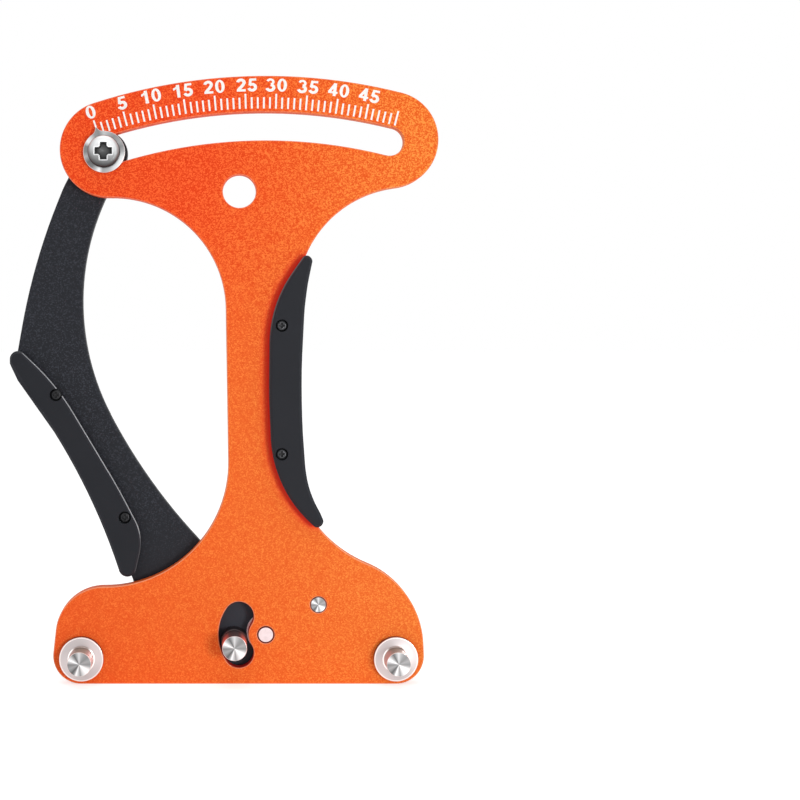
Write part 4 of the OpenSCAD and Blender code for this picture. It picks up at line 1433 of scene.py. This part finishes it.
class METER_OT_print(bpy.types.Operator):
    """Scale marks and numbers, as thin films of ink on the plate"""
    bl_idname = "meter.print"
    bl_label = "Scale print"

    def execute(self, context):
        ink = context.scene.meter_print
        material = ink_finish("print_ink", tuple(ink.colour))
        front, back = PLATE_FRONT - ink.film, PLATE_FRONT - FLAT / 4
        centre = PIVOT[[0, 2]] + [ink.aside, 0]
        step = ink.span / ink.divisions
        bands = []
        for mark in range(ink.divisions + 1):
            turn = ink.start - mark * step
            length = ink.mark_length if mark % 5 else ink.fifth_length
            line = on_dial(centre, np.array([ink.mark_inner, ink.mark_inner + length]), turn)
            bands.append((*band(line, ink.mark_width), 0))
        add(joined("scale_marks", film(bands, front, back), CRISP_MOULDING), "frame",
            material, "orange_coat")
        bands = []
        for mark in range(0, ink.divisions, 5):
            turn = ink.start - mark * step
            spot = on_dial(centre, ink.number_radius, turn)
            right = np.array([math.cos(turn), math.sin(turn)]) * ink.number_height * NUMBER_WIDTH
            up = np.array([-math.sin(turn), math.cos(turn)]) * ink.number_height
            number = str(mark)
            for place, figure in enumerate(number):
                shift = NUMBER_STEP * (place - len(number) / 2) + NUMBER_SHIFTS[mark // 5]
                for over, sides in enumerate(numeral(figure)):
                    left, other = (spot + (side[:, :1] + shift) * right
                                   + (side[:, 1:] - 0.5) * up for side in sides)
                    bands.append((left, other, over))
        add(joined("scale_numbers", film(bands, front, back), CRISP_MOULDING), "frame",
            material, "orange_coat")
        return {"FINISHED"}


class METER_OT_stage(bpy.types.Operator):
    """Pale floor, soft lights and the camera"""
    bl_idname = "meter.stage"
    bl_label = "Stage"

    def execute(self, context):
        stage = context.scene.meter_stage
        scene = context.scene
        corners = np.array([[-1, -1, 0], [1, -1, 0], [1, 1, 0], [-1, 1, 0]]) * FLOOR_REACH
        corners[:, 2] = CAD_BOX[0].z
        floor = surface("floor", corners, [np.array([[0, 1, 2, 3]])])
        pale = Finish("floor_paper", roughness=0.9, specular_ior_level=0.1)
        shade = pale.noise(0.05, 2)
        pale.set("Base Color", pale.tint((0.9, 0.9, 0.9), 0.99 + (shade - 0.5) * 0.01))
        pale.set("Emission Color", pale.tint((1.0, 1.0, 1.0), pale.seen() * 0.6))
        pale.set("Emission Strength", 1.0)
        floor.data.materials.append(pale.material)

        world = bpy.data.worlds.new("room")
        scene.world = world
        world.use_nodes = True
        world.node_tree.nodes.clear()
        room = NodeTree(world.node_tree)
        even, shown = (room.node("ShaderNodeBackground", {}, (1, 1, 1, 1), level).outputs[0]
                       for level in (stage.ambient, 1.0))
        mix = room.node("ShaderNodeMixShader", {}, room.seen(), even, shown)
        room.node("ShaderNodeOutputWorld", {}, mix.outputs[0])

        for name, place, size, setting in LAMPS:
            lamp = bpy.data.lights.new(name, "AREA")
            lamp.energy, lamp.size, lamp.shape = getattr(stage, setting), size, "DISK"
            holder = bpy.data.objects.new(name, lamp)
            scene.collection.objects.link(holder)
            holder.location = place
            way = Vector(LAMPS_AIM) - Vector(place)
            holder.rotation_euler = way.to_track_quat("-Z", "Y").to_euler()

        camera = bpy.data.cameras.new("camera")
        holder = bpy.data.objects.new("camera", camera)
        scene.collection.objects.link(holder)
        holder.location = (PIVOT[0] + (AXIS_PIXEL[0] - PIVOT_PIXEL[0]) * PIXEL,
                           PLATE_FRONT - CAMERA_DISTANCE,
                           PIVOT[2] + (PIVOT_PIXEL[1] - AXIS_PIXEL[1]) * PIXEL)
        holder.rotation_euler = (math.pi / 2, 0, 0)
        camera.sensor_width = FILM_WIDTH
        camera.lens = FILM_WIDTH * CAMERA_DISTANCE / (PICTURE * PIXEL)
        camera.shift_x = 0.5 - AXIS_PIXEL[0] / PICTURE
        camera.shift_y = AXIS_PIXEL[1] / PICTURE - 0.5
        camera.clip_start = 0.01
        scene.camera = holder
        scene.view_settings.view_transform = "Standard"
        return {"FINISHED"}


class METER_PT_panel(bpy.types.Panel):
    """Settings and steps of the spoke tension meter"""
    bl_label = "Spoke tension meter"
    bl_idname = "METER_PT_panel"
    bl_space_type = "VIEW_3D"
    bl_region_type = "UI"
    bl_category = "Meter"

    def draw(self, context):
        """All settings in boxes, then a button for each step."""
        for settings in SETTINGS:
            group = getattr(context.scene, settings)
            box = self.layout.box()
            for key in group.bl_rna.properties.keys():
                if key not in ("rna_type", "name"):
                    box.prop(group, key)
        for step in STEPS:
            self.layout.operator(step.bl_idname)


SETTINGS = {
    "meter_coat": CoatSettings, "meter_steel": SteelSettings, "meter_turned": TurnedSettings,
    "meter_plastic": PlasticSettings, "meter_spring": SpringSettings,
    "meter_print": PrintSettings, "meter_stage": StageSettings,
}
STEPS = (METER_OT_sheets, METER_OT_grips, METER_OT_posts, METER_OT_pivot, METER_OT_spring,
         METER_OT_pointer, METER_OT_print, METER_OT_stage)


def register():
    """Makes the classes known, and keeps the settings with the scene."""
    for settings in (*SETTINGS.values(), *STEPS, METER_PT_panel):
        bpy.utils.register_class(settings)
    for name, settings in SETTINGS.items():
        setattr(bpy.types.Scene, name, PointerProperty(type=settings))


def unregister():
    """Takes back what register did."""
    for name in SETTINGS:
        delattr(bpy.types.Scene, name)
    for settings in (METER_PT_panel, *reversed(STEPS), *SETTINGS.values()):
        bpy.utils.unregister_class(settings)


def main():
    """Runs every step in order."""
    register()
    for step in STEPS:
        group, name = step.bl_idname.split(".")
        getattr(getattr(bpy.ops, group), name)()


if __name__ == "__main__":
    main()
